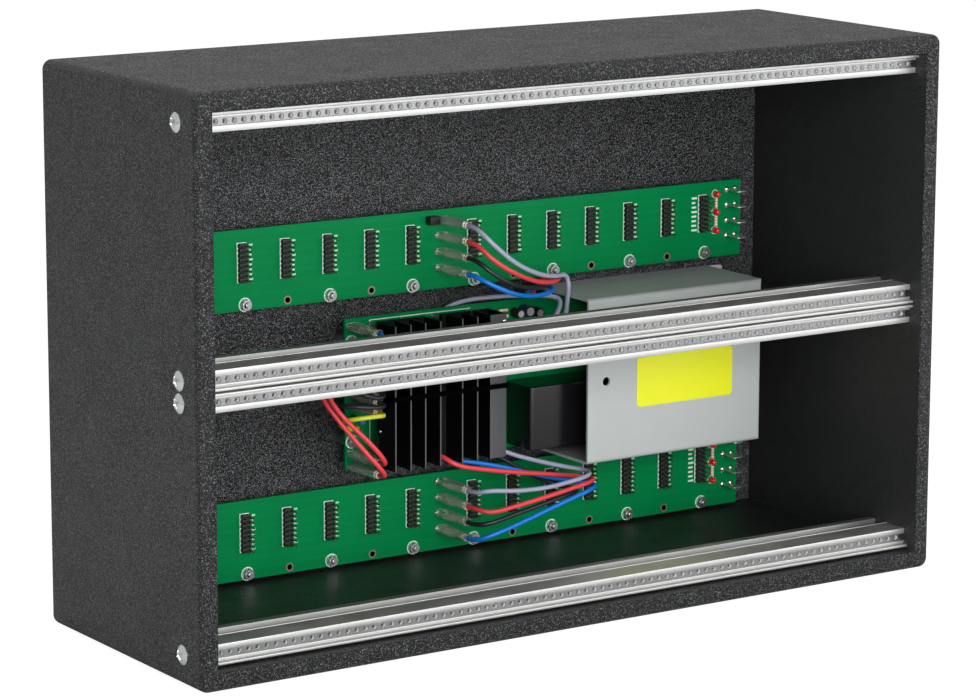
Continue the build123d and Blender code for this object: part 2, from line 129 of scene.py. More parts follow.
def shader_group(name, inputs, outputs):
    """Empty node group with a Vector, numbers with their usual values, and numbers as its outputs."""
    tree = bpy.data.node_groups.new(name, "ShaderNodeTree")
    tree.interface.new_socket("Vector", in_out="INPUT", socket_type="NodeSocketVector")
    for label, usual in inputs.items():
        socket = tree.interface.new_socket(label, in_out="INPUT", socket_type="NodeSocketFloat")
        socket.default_value = usual
    for label in outputs:
        tree.interface.new_socket(label, in_out="OUTPUT", socket_type="NodeSocketFloat")
    nodes = Nodes(tree)
    return nodes, nodes.add("NodeGroupInput").outputs, nodes.add("NodeGroupOutput").inputs


def pebble_group():
    """Sprayed texture paint: uneven grains about a millimetre across, whose height also carries
    painted light and shade, and a few bright points for painted glints. A higher Fineness makes the
    grains smaller."""
    n, start, end = shader_group("pebbled_paint", {"Fineness": 1.0, "Points": 0.5}, ("Height", "Glint"))
    scaled = n.add("ShaderNodeVectorMath", {0: start["Vector"], 3: start["Fineness"]}, operation="SCALE")
    vector = scaled.outputs[0]
    n.set(end["Height"], n.span(n.noise(vector, scale=1600.0, detail=1.0, rough=0.6), 0.40, 0.64))
    cells = n.cells(vector, scale=1500.0)
    picked = n.add("ShaderNodeSeparateColor", {0: cells["Color"]}).outputs[0]
    rare = n.span(picked, n.math("SUBTRACT", 1.0, n.math("MULTIPLY", start["Points"], 0.4)), 1.0)
    near = n.span(cells["Distance"], 0.45, 0.2)
    n.set(end["Glint"], n.math("MULTIPLY", rare, near))
    return n.tree


def streak_group():
    """Fine lines along one axis, as a die or a rolling mill leaves: noise stretched along X."""
    inputs = {"Fineness": 2500.0, "Stretch": 0.01}
    n, start, end = shader_group("drawn_lines", inputs, ("Lines", "Patches"))
    parts = n.apart(start["Vector"])
    long = n.math("MULTIPLY", parts[0], start["Stretch"])
    vector = n.add("ShaderNodeCombineXYZ", {0: long, 1: parts[1], 2: parts[2]}).outputs[0]
    n.set(end["Lines"], n.noise(vector, start["Fineness"], detail=3.0, rough=0.6))
    n.set(end["Patches"], n.noise(start["Vector"], scale=45.0, detail=3.0, rough=0.55))
    return n.tree


def grain_group():
    """Slight unevenness of moulded, lacquered or plated surfaces: a cloudy and a fine noise."""
    n, start, end = shader_group("surface_grain", {"Fineness": 1500.0}, ("Fine", "Cloud"))
    n.set(end["Fine"], n.noise(start["Vector"], start["Fineness"], detail=2.0, rough=0.6))
    n.set(end["Cloud"], n.noise(start["Vector"], scale=60.0, detail=3.0, rough=0.5))
    return n.tree


pebbles, streaks, grain = pebble_group(), streak_group(), grain_group()


def finish_of(name):
    """New material: its nodes, its Principled shader and the Object coordinates."""
    material = bpy.data.materials.new(name)
    material.use_nodes = True
    nodes = Nodes(material.node_tree)
    shader = material.node_tree.nodes["Principled BSDF"]
    place = nodes.add("ShaderNodeTexCoord").outputs["Object"]
    return material, nodes, shader, place


def use(nodes, tree, **inputs):
    """Places a shared group with its own values."""
    node = nodes.add("ShaderNodeGroup", node_tree=tree)
    for label, value in inputs.items():
        nodes.set(node.inputs[label], value)
    return node.outputs


def bump(nodes, shader, height, distance):
    """Relief on a surface: a height from 0 to 1 stands up by a distance in metres."""
    node = nodes.add("ShaderNodeBump", {"Height": height, "Distance": distance, "Strength": 1.0})
    nodes.set(shader.inputs["Normal"], node.outputs[0])


def colour_between(nodes, shader, mask, one, other):
    """Base colour that goes from one colour to the other as a mask goes from 0 to 1."""
    nodes.set(shader.inputs["Base Color"], nodes.mix(mask, one, other))


def rough_between(nodes, shader, noise, low, high):
    """Roughness that goes from low to high as a noise goes from 0.3 to 0.7, where most of it lies."""
    nodes.set(shader.inputs["Roughness"], nodes.span(noise, 0.3, 0.7, low, high))


def darker(colour, share):
    """The same tone at a share of its brightness."""
    return tuple(c * share for c in colour)


# ---- finishes ----

# The first colour is the painted shade in the paint's hollows, the second the pale grey of its painted
# glints.
hollow_shade_black, painted_glint_grey = (0.001, 0.001, 0.0015), (0.36, 0.37, 0.39)


def paint(name, light, depth, dark=hollow_shade_black, fineness=1.0, points=1.0, rough=0.46, start=0.5):
    """Black sprayed texture paint: the paint's tone, with painted shade in the hollows up to the start
    height of its grains, painted light on the grains and painted glints on the bright points.
    """
    material, n, shader, place = finish_of(name)
    grains = use(n, pebbles, Vector=place, Fineness=fineness, Points=points)
    # The ramp paints shade into the hollows and light onto the grains; the bright points get painted glints.
    base = n.ramp(grains["Height"], [(start, dark), (0.95, light)])
    colour_between(n, shader, grains["Glint"], base, painted_glint_grey)
    rough_between(n, shader, use(n, grain, Vector=place)["Cloud"], rough - 0.05, rough + 0.05)
    bump(n, shader, grains["Height"], depth)
    return material


def metal(name, colour, rough, fineness, stretch, relief, shade=0.85):
    """Drawn, rolled or plated metal, with lines along X; a stretch of 1 leaves round grains."""
    material, n, shader, place = finish_of(name)
    marks = use(n, streaks, Vector=place, Fineness=fineness, Stretch=stretch)
    colour_between(n, shader, marks["Lines"], darker(colour, shade), colour)
    shader.inputs["Metallic"].default_value = 1.0
    rough_between(n, shader, marks["Patches"], rough - 0.06, rough + 0.06)
    bump(n, shader, marks["Lines"], relief)
    return material


def plastic(
    name, colour, rough, relief=0.00002, fineness=1500.0, shade=0.85, spread=0.05, coat=0.0, metallic=0.0,
    gloss=0.5
):
    """Moulded, lacquered or anodised surface with a fine grain."""
    material, n, shader, place = finish_of(name)
    marks = use(n, grain, Vector=place, Fineness=fineness)
    colour_between(n, shader, marks["Cloud"], darker(colour, shade), colour)
    rough_between(n, shader, marks["Fine"], rough - spread, rough + spread)
    shader.inputs["Coat Weight"].default_value = coat
    shader.inputs["Coat Roughness"].default_value = 0.12
    shader.inputs["Metallic"].default_value = metallic
    shader.inputs["Specular IOR Level"].default_value = gloss
    bump(n, shader, marks["Fine"], relief)
    return material


def insulation(name, colour):
    """Extruded insulation of a wire: a satin sheen and a coarser grain."""
    return plastic(name, colour, 0.40, 0.00004, fineness=900.0, shade=0.8, spread=0.06, gloss=0.45)


def board_green():
    """Green lacquer over copper: tracks along the board show as paler bands under it."""
    material, n, shader, place = finish_of("board_lacquer")
    marks = use(n, grain, Vector=place, Fineness=2200.0)
    wave = n.math("SINE", n.math("MULTIPLY", n.apart(place)[2], 1180.0))
    track = n.span(wave, 0.2, 0.9)
    base = n.mix(marks["Cloud"], (0.0, 0.155, 0.041), (0.0, 0.185, 0.052))
    colour_between(n, shader, n.math("MULTIPLY", track, 0.12), base, (0.0, 0.26, 0.09))
    rough_between(n, shader, marks["Fine"], 0.34, 0.44)
    shader.inputs["Specular IOR Level"].default_value = 0.07
    bump(n, shader, n.math("ADD", track, n.math("MULTIPLY", marks["Fine"], 0.4)), 0.00001)
    return material


def clear_plastic():
    """Clear soft sleeve, a little cloudy."""
    material, n, shader, place = finish_of("clear_sleeve")
    marks = use(n, grain, Vector=place, Fineness=700.0)
    colour_between(n, shader, marks["Cloud"], (0.84, 0.88, 0.86), (0.97, 0.99, 0.98))
    rough_between(n, shader, marks["Fine"], 0.10, 0.22)
    shader.inputs["Transmission Weight"].default_value = 0.9
    shader.inputs["IOR"].default_value = 1.35
    bump(n, shader, marks["Cloud"], 0.0002)
    return material


def yellow_label():
    """Yellow coated paper with the faint dots of its print screen."""
    material, n, shader, place = finish_of("label_paper")
    marks = use(n, grain, Vector=place, Fineness=1200.0)
    base = n.mix(marks["Cloud"], (0.71, 0.73, 0.004), (0.77, 0.80, 0.01))
    dot = n.span(n.cells(place, scale=3000.0)["Distance"], 0.15, 0.3, 0.25, 0.0)
    colour_between(n, shader, dot, base, (0.62, 0.62, 0.0))
    rough_between(n, shader, marks["Fine"], 0.38, 0.5)
    bump(n, shader, marks["Fine"], 0.00003)
    return material


def banded_body():
    """Beige lacquered body with colour bands across it, which follow its height."""
    material, n, shader, place = finish_of("resistor_body")
    marks = use(n, grain, Vector=place, Fineness=1800.0)
    wave = n.math("SINE", n.math("MULTIPLY", n.apart(place)[2], 4200.0))
    band = n.span(wave, 0.45, 0.6)
    base = n.mix(marks["Cloud"], (0.66, 0.52, 0.36), (0.76, 0.64, 0.48))
    colour_between(n, shader, n.math("MULTIPLY", band, 0.75), base, (0.35, 0.10, 0.04))
    rough_between(n, shader, marks["Fine"], 0.3, 0.4)
    bump(n, shader, marks["Fine"], 0.00003)
    return material


drawn = {"fineness": 2600.0, "stretch": 0.008, "relief": 0.00002, "shade": 0.9}
plated = {"fineness": 1200.0, "stretch": 0.2, "relief": 0.00003}
polished = {"fineness": 900.0, "stretch": 0.8, "relief": 0.00001}
tinned = {"fineness": 1500.0, "stretch": 0.5}
smooth = {"fineness": 2500.0, "metallic": 0.2}

finishes = {
    "outside": paint("case_paint", (0.090, 0.094, 0.099), 0.0014, fineness=0.92, points=0.9, start=0.47),
    # Lighter copies of the case paint for the top and the rear board: painted light.
    "top": paint("top_paint_painted_light", (0.15, 0.155, 0.16), 0.0030, fineness=0.45),
    "rear": paint("rear_paint_painted_light", (0.235, 0.245, 0.255), 0.0010, fineness=1.15),
    "inside": paint(
        "inner_paint", (0.026, 0.027, 0.028), 0.0003, (0.004, 0.004, 0.005), points=0.2, rough=0.4, start=0.35
    ),
    "aluminium": metal("satin_aluminium", (0.585, 0.588, 0.575), 0.50, **drawn),
    # Darker copy of the satin aluminium for the rails' rear part: painted shade.
    "rear_aluminium": metal("rail_rear_painted_shade", (0.36, 0.365, 0.355), 0.48, **drawn),
    "zinc": metal("zinc_plate", (0.50, 0.51, 0.52), 0.36, **plated),
    "strip": metal("strip_zinc", (0.34, 0.345, 0.35), 0.36, **plated),
    # Near-white bore wall in place of the strip's zinc: a painted highlight of its lit side.
    "thread": plastic("bore_painted_highlight", (0.86, 0.87, 0.87), 0.35, 0.00004, fineness=2500.0),
    "bright": metal("bright_plate", (0.86, 0.87, 0.88), 0.16, **polished),
    "nut": metal("nut_plate", (0.66, 0.66, 0.68), 0.30, **polished),
    "tin": metal("tinned_brass", (0.86, 0.85, 0.81), 0.36, **tinned, relief=0.00002),
    "pin": metal("header_pin", (0.34, 0.30, 0.26), 0.45, **tinned, relief=0.00001),
    "solder": metal("solder", (0.82, 0.83, 0.84), 0.2, fineness=500.0, stretch=1.0, relief=0.00004),
    "brass": metal("crimped_brass", (0.92, 0.82, 0.58), 0.24, fineness=700.0, stretch=1.0, relief=0.00005),
    "green": board_green(),
    "silk": plastic("marking_ink", (0.62, 0.80, 0.66), 0.6),
    "faint": plastic("faint_ink", (0.33, 0.66, 0.45), 0.6),
    # Flat black for the insides of holes: painted shade.
    "hole": plastic("hole_painted_shade", (0.001, 0.001, 0.001), 0.8, gloss=0.0),
    # Paler grey on the sinks' front edges and fin tips: a painted highlight.
    "edge": plastic("edge_painted_highlight", (0.095, 0.097, 0.104), 0.4, **smooth),
    "flange": plastic("flange_face", (0.058, 0.060, 0.066), 0.45, **smooth),
    "copper": plastic("bare_ring", (0.27, 0.23, 0.17), 0.4, metallic=0.5),
    "black": plastic("black_plastic", (0.009, 0.009, 0.010), 0.45, gloss=0.35),
    "tie": plastic("tie_nylon", (0.001, 0.001, 0.001), 0.7, gloss=0.01),
    "module": plastic("module_case", (0.005, 0.005, 0.006), 0.22, 0.00001, fineness=2200.0, gloss=0.45),
    "anodised": plastic("black_anodised", (0.002, 0.002, 0.0025), 0.42, fineness=2500.0, gloss=0.12),
    "cover": plastic("cover_paint", (0.415, 0.44, 0.43), 0.5, 0.00003, fineness=2600.0, shade=0.94),
    "yellow": yellow_label(),
    "red": plastic("lamp_lens", (0.72, 0.012, 0.016), 0.16, coat=0.5),
    "white": plastic("white_plastic", (0.75, 0.76, 0.74), 0.4),
    "blue_part": plastic("blue_part", (0.05, 0.16, 0.42), 0.35),
    "capacitor": plastic("capacitor_sleeve", (0.012, 0.02, 0.05), 0.28, coat=0.3),
    "bands": banded_body(),
    "clear": clear_plastic(),
    "grey_wire": insulation("grey_insulation", (0.36, 0.37, 0.50)),
    "red_wire": insulation("red_insulation", (0.80, 0.055, 0.070)),
    "black_wire": insulation("black_insulation", (0.014, 0.014, 0.018)),
    "blue_wire": insulation("blue_insulation", (0.004, 0.19, 0.72)),
    "yellow_green_wire": insulation("yellow_insulation", (0.62, 0.66, 0.02)),
}

# ---- cords ----

wire_routes = {
    "upper_grey_wire": [
        (0.65, 112, 190.3), (0.65, 104, 190.3), (6, 96, 181.6), (21, 96.7, 169.8),
        (42, 103.5, 161), (56, 110, 158.6), (63.8, 113.5, 158.4), (67, 115.3, 153.3),
        (64, 111.8, 146.3), (58.5, 105.7, 136), (53, 109.8, 123.3), (51, 122.5, 118),
        (51, 134, 118),
    ],
    "upper_red_wire": [
        (0.65, 112, 181.7), (0.65, 104, 181.7), (6.5, 96.2, 173), (22, 97, 164),
        (44, 106.5, 156.2), (63, 117.5, 154.8), (67, 127.5, 155), (63, 137.5, 152),
        (60, 141.2, 142), (60, 141.2, 131), (60, 135.6, 131),
    ],
    "upper_black_wire": [
        (0.65, 112, 173.1), (0.65, 104, 173.1), (6.5, 97.5, 166.3), (19.5, 98.3, 158.8),
        (38, 107, 153.9), (54, 117, 152.5), (58, 126, 152.6), (53.5, 135, 151.5),
        (48.5, 141.2, 144), (48, 141.2, 131), (48, 135.6, 131),
    ],
    "upper_blue_wire": [
        (0.65, 112, 164.5), (0.65, 104, 164.5), (8.5, 97, 159), (24, 99.8, 152.8),
        (42, 109.3, 149.1), (60, 118.2, 149), (64, 127.5, 149.8), (59.5, 137, 149.3),
        (54.5, 141.2, 142), (54, 141.2, 130), (54, 135.6, 130),
    ],
    "link_grey_wire": [
        (-4, 135.6, 131), (-4, 141.2, 131), (1, 141.2, 140), (15, 140.5, 144.8),
        (36, 135.3, 145.9), (54, 124, 146.4), (61.5, 116.5, 145.9), (59, 110.8, 142),
        (47.5, 104.5, 133.5), (41.5, 109, 122.5), (40, 121, 117.5), (40, 134, 117.5),
    ],
    "lower_grey_wire": [
        (0.65, 112, 48.6), (0.65, 104, 48.6), (5.5, 97.7, 50.8), (20, 97, 48.7),
        (41, 98.5, 47.3), (61, 102, 48), (73.5, 104.9, 48.9), (78.3, 110, 49.2),
        (77, 117, 49.8), (69, 120.7, 51.3), (52, 122.7, 56.3), (38, 124.5, 61),
        (30, 128, 64.8), (30, 134, 64.8),
    ],
    "lower_red_wire": [
        (0.65, 112, 40), (0.65, 104, 40), (6, 97, 38.6), (20, 95.7, 40.8),
        (42, 98, 42.8), (61, 101.2, 44.4), (73, 103, 45.6), (79, 107.3, 45.8),
        (80, 114, 45.7), (75, 119, 45.9), (66, 117.5, 47.6), (49.5, 112.3, 51.5),
        (25, 108, 56.3), (3, 104, 61.5), (-12, 103, 65.2), (-16.8, 109.5, 69.6),
        (-17.3, 121.5, 70.3), (-17.3, 134, 70.3),
    ],
    "lower_black_wire": [
        (0.65, 112, 31.4), (0.65, 104, 31.4), (6, 98.5, 32.6), (19, 97, 35.8),
        (38, 98.3, 38.7), (56, 102.2, 40.5), (66.5, 106, 40.8), (70.7, 111.5, 40.4),
        (70, 118, 40.2), (63.5, 122.2, 41.8), (50, 124, 48.4), (36, 125, 56.5),
        (24, 127, 64.5), (24, 134, 64.5),
    ],
    "lower_blue_wire": [
        (0.65, 112, 22.8), (0.65, 104, 22.8), (7, 98, 26.3), (22, 96.5, 30.5),
        (42, 97.8, 35.5), (61, 100.5, 39.3), (73, 102.8, 41.3), (79.8, 107, 42),
        (81.5, 113.8, 42), (77.5, 119.4, 42.3), (69, 120, 44.2), (52, 117.7, 48.9),
        (29, 114.3, 56.5), (9, 113, 62.3), (-6, 118.5, 64.8), (-6, 134, 64.8),
    ],
    "left_red_wire_a": [
        (-57, 108, 65), (-57, 101.3, 65), (-61.5, 97.6, 70), (-71, 98.8, 80.5),
        (-84, 103.5, 97.5), (-90.5, 111, 110), (-84, 120.5, 118), (-70, 124.5, 121.3),
        (-57, 124.8, 121.5), (-57, 134, 121.5),
    ],
    "left_red_wire_b": [
        (-57, 108, 71.5), (-57, 101.3, 71.5), (-61, 97, 76.3), (-70.5, 96.9, 86.7),
        (-83.5, 100.8, 100), (-89, 107.5, 111.5), (-84, 116, 121), (-70, 121.5, 125.4),
        (-57, 124.5, 125.6), (-57, 134, 125.6),
    ],
    "left_black_wire_a": [
        (-57, 108, 109), (-57, 101.5, 109), (-63, 97.3, 107.8), (-72.5, 100.5, 111),
        (-77, 110.5, 115), (-69, 120, 115), (-57, 124, 114), (-57, 134, 114),
    ],
    "left_black_wire_b": [
        (-57, 108, 103.5), (-57, 101.5, 103.5), (-63, 96.8, 103.3), (-75, 98.8, 104.8),
        (-82, 108.5, 104.5), (-78.5, 119, 98.5), (-68, 124.5, 92.5), (-57, 125.3, 91.5),
        (-57, 134, 91.5),
    ],
    "earth_yellow_green_wire": [
        (-57, 108, 97.8), (-57, 101.5, 97.8), (-63, 97.9, 98.9), (-75, 100.5, 98.2),
        (-79.5, 109.5, 96), (-73, 119, 89.5), (-57, 124, 86.5), (-57, 134, 86.5),
    ],
    "left_blue_wire": [
        (-57, 108, 139.5), (-57, 101.5, 139.5), (-61, 97.5, 132), (-63.5, 101.5, 124),
        (-62, 112, 118), (-58, 123, 117.7), (-58, 134, 117.7),
    ],
}

wire_diameter = 2.5


def wire_colour(name):
    return next(c for c in ("yellow_green", "grey", "red", "black", "blue") if c in name)


def make_wires():
    """Each wire is a smooth curve with its route's points as control points, in round insulation."""
    for name, corners in wire_routes.items():
        points = placed(corners)
        curve = bpy.data.curves.new(name + "_insulation", "CURVE")
        curve.dimensions = "3D"
        spline = curve.splines.new("NURBS")
        spline.points.add(len(points) - 1)
        spline.points.foreach_set("co", np.c_[points, np.ones(len(points))].ravel())
        spline.order_u = 3
        spline.use_endpoint_u = True
        spline.resolution_u = 8
        curve.bevel_depth = wire_diameter / 2000
        curve.bevel_resolution = 4
        curve.use_fill_caps = True
        curve.materials.append(finishes[wire_colour(name) + "_wire"])
        wire = bpy.data.objects.new(name + "_insulation", curve)
        bpy.context.scene.collection.objects.link(wire)
        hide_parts(name)
        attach(wire, "root")


make_wires()

# ---- surfaces ----


def around(count):
    """Even angles of a full turn."""
    return np.linspace(0, 2 * np.pi, count, endpoint=False)


def polar(radius, angle):
    """Outline points (n, 2) at a radius, which may change with the angle."""
    return np.stack([radius * np.cos(angle), radius * np.sin(angle)], -1)


def grid(points, close_u=False, close_v=False):
    """Patch over a sheet of points (u, v, 3): each cell of four neighbours is one face."""
    nu, nv = points.shape[:2]
    number = np.arange(nu * nv).reshape(nu, nv)
    u, v = np.arange(nu - 1 + close_u), np.arange(nv - 1 + close_v)
    next_u, next_v = (u + 1) % nu, (v + 1) % nv
    corners = [number[np.ix_(a, b)] for a, b in ((u, v), (next_u, v), (next_u, next_v), (u, next_v))]
    return points.reshape(-1, 3), [np.stack(corners, -1).reshape(-1, 4)]


def loft(outlines, close_ends=True):
    """Patch through a stack of closed outlines (layer, point, 3), with a flat face on each end."""
    points, faces = grid(outlines, close_v=True)
    if close_ends:
        n = outlines.shape[1]
        faces = [*faces, np.arange(n)[None, ::-1], len(points) - n + np.arange(n)[None]]
    return points, faces


def repeat(patch, places):
    """The same patch moved to each of several places."""
    points, faces = patch
    places = np.asarray(places, float).reshape(-1, 3)
    step = (np.arange(len(places)) * len(points))[:, None, None]
    moved = (places[:, None] + points[None]).reshape(-1, 3)
    return moved, [(face[None] + step).reshape(-1, face.shape[1]) for face in faces]


def along(axis, outline, position):
    """Outline points (n, 2) in the plane across an axis, at a position on it."""
    rest = [i for i in range(3) if i != axis]
    points = np.empty((len(outline), 3))
    points[:, axis] = position
    points[:, rest[0]], points[:, rest[1]] = outline[:, 0], outline[:, 1]
    return points


def rounded(corners, radii, steps):
    """Closed outline with each corner replaced by an arc touching both its sides: the arc's centre is on
    the corner's bisector, radius / sin(half the angle) away, and its points turn evenly about it. An arc
    takes at most 0.48 of the shorter side."""
    corners = np.asarray(corners, float)
    to_back = np.roll(corners, 1, 0) - corners
    to_next = np.roll(corners, -1, 0) - corners
    side = np.minimum(np.linalg.norm(to_back, axis=1), np.linalg.norm(to_next, axis=1))
    to_back /= np.linalg.norm(to_back, axis=1)[:, None]
    to_next /= np.linalg.norm(to_next, axis=1)[:, None]
    half = np.arccos(np.clip((to_back * to_next).sum(1), -1, 1)) / 2
    radii = np.minimum(np.broadcast_to(radii, len(corners)), 0.48 * side * np.tan(half))
    middle = to_back + to_next
    middle /= np.linalg.norm(middle, axis=1)[:, None]
    centre = corners + middle * (radii / np.sin(half))[:, None]
    touch = radii / np.tan(half)
    first = corners + to_back * touch[:, None] - centre
    last = corners + to_next * touch[:, None] - centre
    turn = (np.pi - 2 * half)[:, None, None]
    share = np.linspace(0, 1, steps)[None, :, None]
    swung = np.sin((1 - share) * turn) * first[:, None] + np.sin(share * turn) * last[:, None]
    return (centre[:, None] + swung / np.sin(turn)).reshape(-1, 2)


def rectangle(x, y, inset=0.0):
    left, right, low, high = x[0] + inset, x[1] - inset, y[0] + inset, y[1] - inset
    return np.array([(left, low), (right, low), (right, high), (left, high)])


def slab(x, y, z, axis, radius, ease, steps):
    """Block with rounded edges: a rounded rectangle carried along an axis, drawn in at both ends by a
    quarter circle, inset = ease * (1 - sin(angle)) at depth ease * (1 - cos(angle))."""
    span = (x, y, z)
    across = [span[i] for i in range(3) if i != axis]
    angle = np.linspace(0, np.pi / 2, steps)
    inset, depth = ease * (1 - np.sin(angle)), ease * (1 - np.cos(angle))
    start, end = span[axis]
    layers = [(a, start + b) for a, b in zip(inset, depth)]
    layers += [(a, end - b) for a, b in zip(inset[::-1], depth[::-1])]
    outlines = [
        along(axis, rounded(rectangle(*across, a), max(radius - a, 0.02), steps), position)
        for a, position in layers
    ]
    return loft(np.array(outlines))


def turned(profile, centre, axis, sides, close=True):
    """Solid of revolution: a profile of (radius, distance along the axis) turned about it."""
    ring = polar(1, around(sides))
    layers = [along(axis, ring * max(radius, 1e-4), distance) for radius, distance in profile]
    points, faces = loft(np.array(layers), close_ends=close)
    return points + np.asarray(centre, float), faces


def reach_around(count, x, z):
    """Directions about the origin and the distance to a rectangle's sides in each: even angles, the
    nearest of them moved to the corners, and the smaller of side / cos(angle) and side / sin(angle)."""
    angle = around(count)
    for corner in [np.arctan2(b, a) % (2 * np.pi) for a in x for b in z]:
        angle[np.argmin(abs(angle - corner))] = corner
    angle = np.sort(angle)
    c, s = np.cos(angle), np.sin(angle)
    reach_x = np.where(c > 0, x[1], -x[0]) / np.maximum(abs(c), 1e-9)
    reach_z = np.where(s > 0, z[1], -z[0]) / np.maximum(abs(s), 1e-9)
    return angle, np.minimum(reach_x, reach_z)


def divided(patch, test, yes, no):
    """Splits a patch by a test on its faces' centres into two finishes."""
    points, faces = patch
    chosen = [test(points[face].mean(1)) for face in faces]
    return [
        ((points, [face[pick] for face, pick in zip(faces, chosen) if pick.any()]), yes),
        ((points, [face[~pick] for face, pick in zip(faces, chosen) if (~pick).any()]), no),
    ]


def piece(name, patches, stands_for=(), crease=32.0, merge=1e-7):
    """One object of several (patch, finish) pairs: doubles merged, faces turned outwards, and edges
    sharper than the crease angle kept sharp."""
    names = list(dict.fromkeys(finish for _, finish in patches))
    points, faces, marks, count = [], [], [], 0
    for (patch_points, patch_faces), finish in patches:
        points.append(patch_points)
        for face in patch_faces:
            faces += (face + count).tolist()
            marks += [names.index(finish)] * len(face)
        count += len(patch_points)
    mesh = bpy.data.meshes.new(name)
    mesh.from_pydata(placed(np.concatenate(points)).tolist(), [], faces)
    mesh.polygons.foreach_set("material_index", marks)
    for finish in names:
        mesh.materials.append(finishes[finish])
    edit = bmesh.new()
    edit.from_mesh(mesh)
    bmesh.ops.remove_doubles(edit, verts=edit.verts, dist=merge)
    bmesh.ops.recalc_face_normals(edit, faces=edit.faces)
    limit = float(np.radians(crease))
    for face in edit.faces:
        face.smooth = True
    for edge in edit.edges:
        edge.smooth = len(edge.link_faces) == 2 and edge.calc_face_angle(0.0) < limit
    edit.to_mesh(mesh)
    edit.free()
    body = bpy.data.objects.new(name, mesh)
    bpy.context.scene.collection.objects.link(body)
    if stands_for:
        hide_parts(*stands_for)
    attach(body, "root")


def dress(node, finish):
    """A CAD node that keeps its own shape gets a finish."""
    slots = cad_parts[node].data.materials
    slots.clear()
    slots.append(finishes[finish])


# ---- case ----

case_x = (limits("left_side_board")[0][0], limits("right_side_board")[0][1])
case_y, case_z = limits("left_side_board")[1:]
board_thick = limits("bottom_board")[2][1]
outer_radius, least_radius, outer_ease, inner_ease, rear_ease = 5.0, 0.6, 3.4, 0.8, 0.3
outside_depth, flat_depth, slack = 3.0, 0.3, 0.1


def make_case():
    """The four boards under one skin of paint. Its section, of (inset from the outside, Y), is a
    rectangle with eased corners, and is carried round the case's outline, whose corner radius is the
    outer radius less the inset. The inner walls have the inner paint from the outside depth on, and the
    flat of the top has a lighter, coarser copy of the case paint, as painted light and shade of its
    grains. The rear board has a lighter copy of the case paint, as painted light."""
    section = rounded(
        [(0, case_y[0]), (board_thick, case_y[0]), (board_thick, case_y[1]), (0, case_y[1])],
        [outer_ease, inner_ease, rear_ease, outer_ease], 6,
    )
    rings = [
        along(1, rounded(rectangle(case_x, case_z, inset), max(outer_radius - inset, least_radius), 9), y)
        for inset, y in section
    ]
    skin = grid(np.array(rings), close_u=True, close_v=True)
    middle_z = sum(case_z) / 2

    def lining(centre):
        """The inner walls behind the front edge."""
        x, y, z = centre.T
        between = abs(x) < case_x[1] - board_thick + slack
        return (y > outside_depth) & between & (abs(z - middle_z) < middle_z - board_thick + slack)

    lined, outer = divided(skin, lining, "inside", "outside")
    # The flat of the top gets the lighter, coarser copy of the paint: painted light and shade.
    painted = divided(outer[0], lambda centre: centre[:, 2] > case_z[1] - flat_depth, "top", "outside")
    boards = ("bottom_board", "top_board", "left_side_board", "right_side_board")
    piece("case_skin", [lined] + painted, boards)
    # The rear board gets a lighter copy of the case paint: painted light.
    dress("rear_board", "rear")


make_case()


def screw_head(radius, height, side):
    """Raised head about X with a cross recess, on a polar grid: height * (1 - share of the radius **
    2.6), less two crossing grooves whose walls lean over a short distance."""
    share = np.linspace(0, 1, 22)[:, None]
    angle = around(56)[None]
    y, z = radius * share * np.cos(angle), radius * share * np.sin(angle)
    reach, half, depth = radius * 0.56, radius * 0.13, 0.75
    wall_lean, end_lean = 0.22, 0.5

    def groove(a, b):
        return np.clip((half - abs(a)) / wall_lean, 0, 1) * np.clip((reach - abs(b)) / end_lean, 0, 1)

    turn = np.radians(25)
    a, b = y * np.cos(turn) - z * np.sin(turn), y * np.sin(turn) + z * np.cos(turn)
    up = height * (1 - share ** 2.6) - np.maximum(groove(a, b), groove(b, a)) * height * depth
    return grid(np.stack([side * up, y, z], -1), close_v=True)


def head_about_y(radius, height, side):
    """A head of the same kind, about Y."""
    points, faces = screw_head(radius, height, side)
    return points[:, [1, 0, 2]], faces


rows = {name: limits(name + "_strip") for name in ("bottom", "lower_middle", "upper_middle", "top")}
row_z = {name: sum(box[2]) / 2 for name, box in rows.items()}
row_lip = {"bottom": -1, "lower_middle": 1, "upper_middle": -1, "top": 1}


def make_rail_screws():
    """Raised heads on both side boards, each with a low straight rim."""
    x, y, _ = limits("rail_screws")
    radius, rim_height, rim_width = 4.9, 0.12, 0.6
    rim = [(radius, 0.0), (radius, rim_height), (radius - rim_width, rim_height)]
    heads = []
    for side in (-1, 1):
        places = [(side * case_x[1], sum(y) / 2, z) for z in row_z.values()]
        heads.append((repeat(screw_head(radius, x[1] - case_x[1], side), places), "bright"))
        rim_points, rim_faces = turned(rim, (0, 0, 0), 0, 40, close=False)
        heads.append((repeat((rim_points * (side, 1, 1), rim_faces), places), "bright"))
    piece("rail_screw_heads", heads, ("rail_screws",), crease=50)


make_rail_screws()

# ---- rails and strips ----

inner_x = (case_x[0] + board_thick, case_x[1] - board_thick)
pitch, hole_count, hole_radius = 5.08, 83, 1.25
rail_ease, rear_part = 0.22, 26
# (Y, height over the row's middle) of a rail whose lip is at its top
rail_corners = np.array([
    (7.0, 4.9), (7.0, 3.5), (10.3, 3.5), (10.3, 3.1), (9.7, 3.1), (9.7, 1.9), (10.9, 1.9), (10.9, 3.2),
    (13.1, 3.2), (13.1, 1.7), (15.3, 1.7), (15.3, -1.7), (13.1, -1.7), (13.1, -3.2), (10.9, -3.2),
    (10.9, -1.9), (9.7, -1.9), (9.7, -4.9), (24.0, -4.9), (24.0, -5.2), (25.0, -5.2), (25.0, 2.9),
    (34.0, 2.9), (34.0, -5.2), (39.0, -5.2), (39.0, -3.7), (35.5, -3.7), (35.5, 4.9),
])


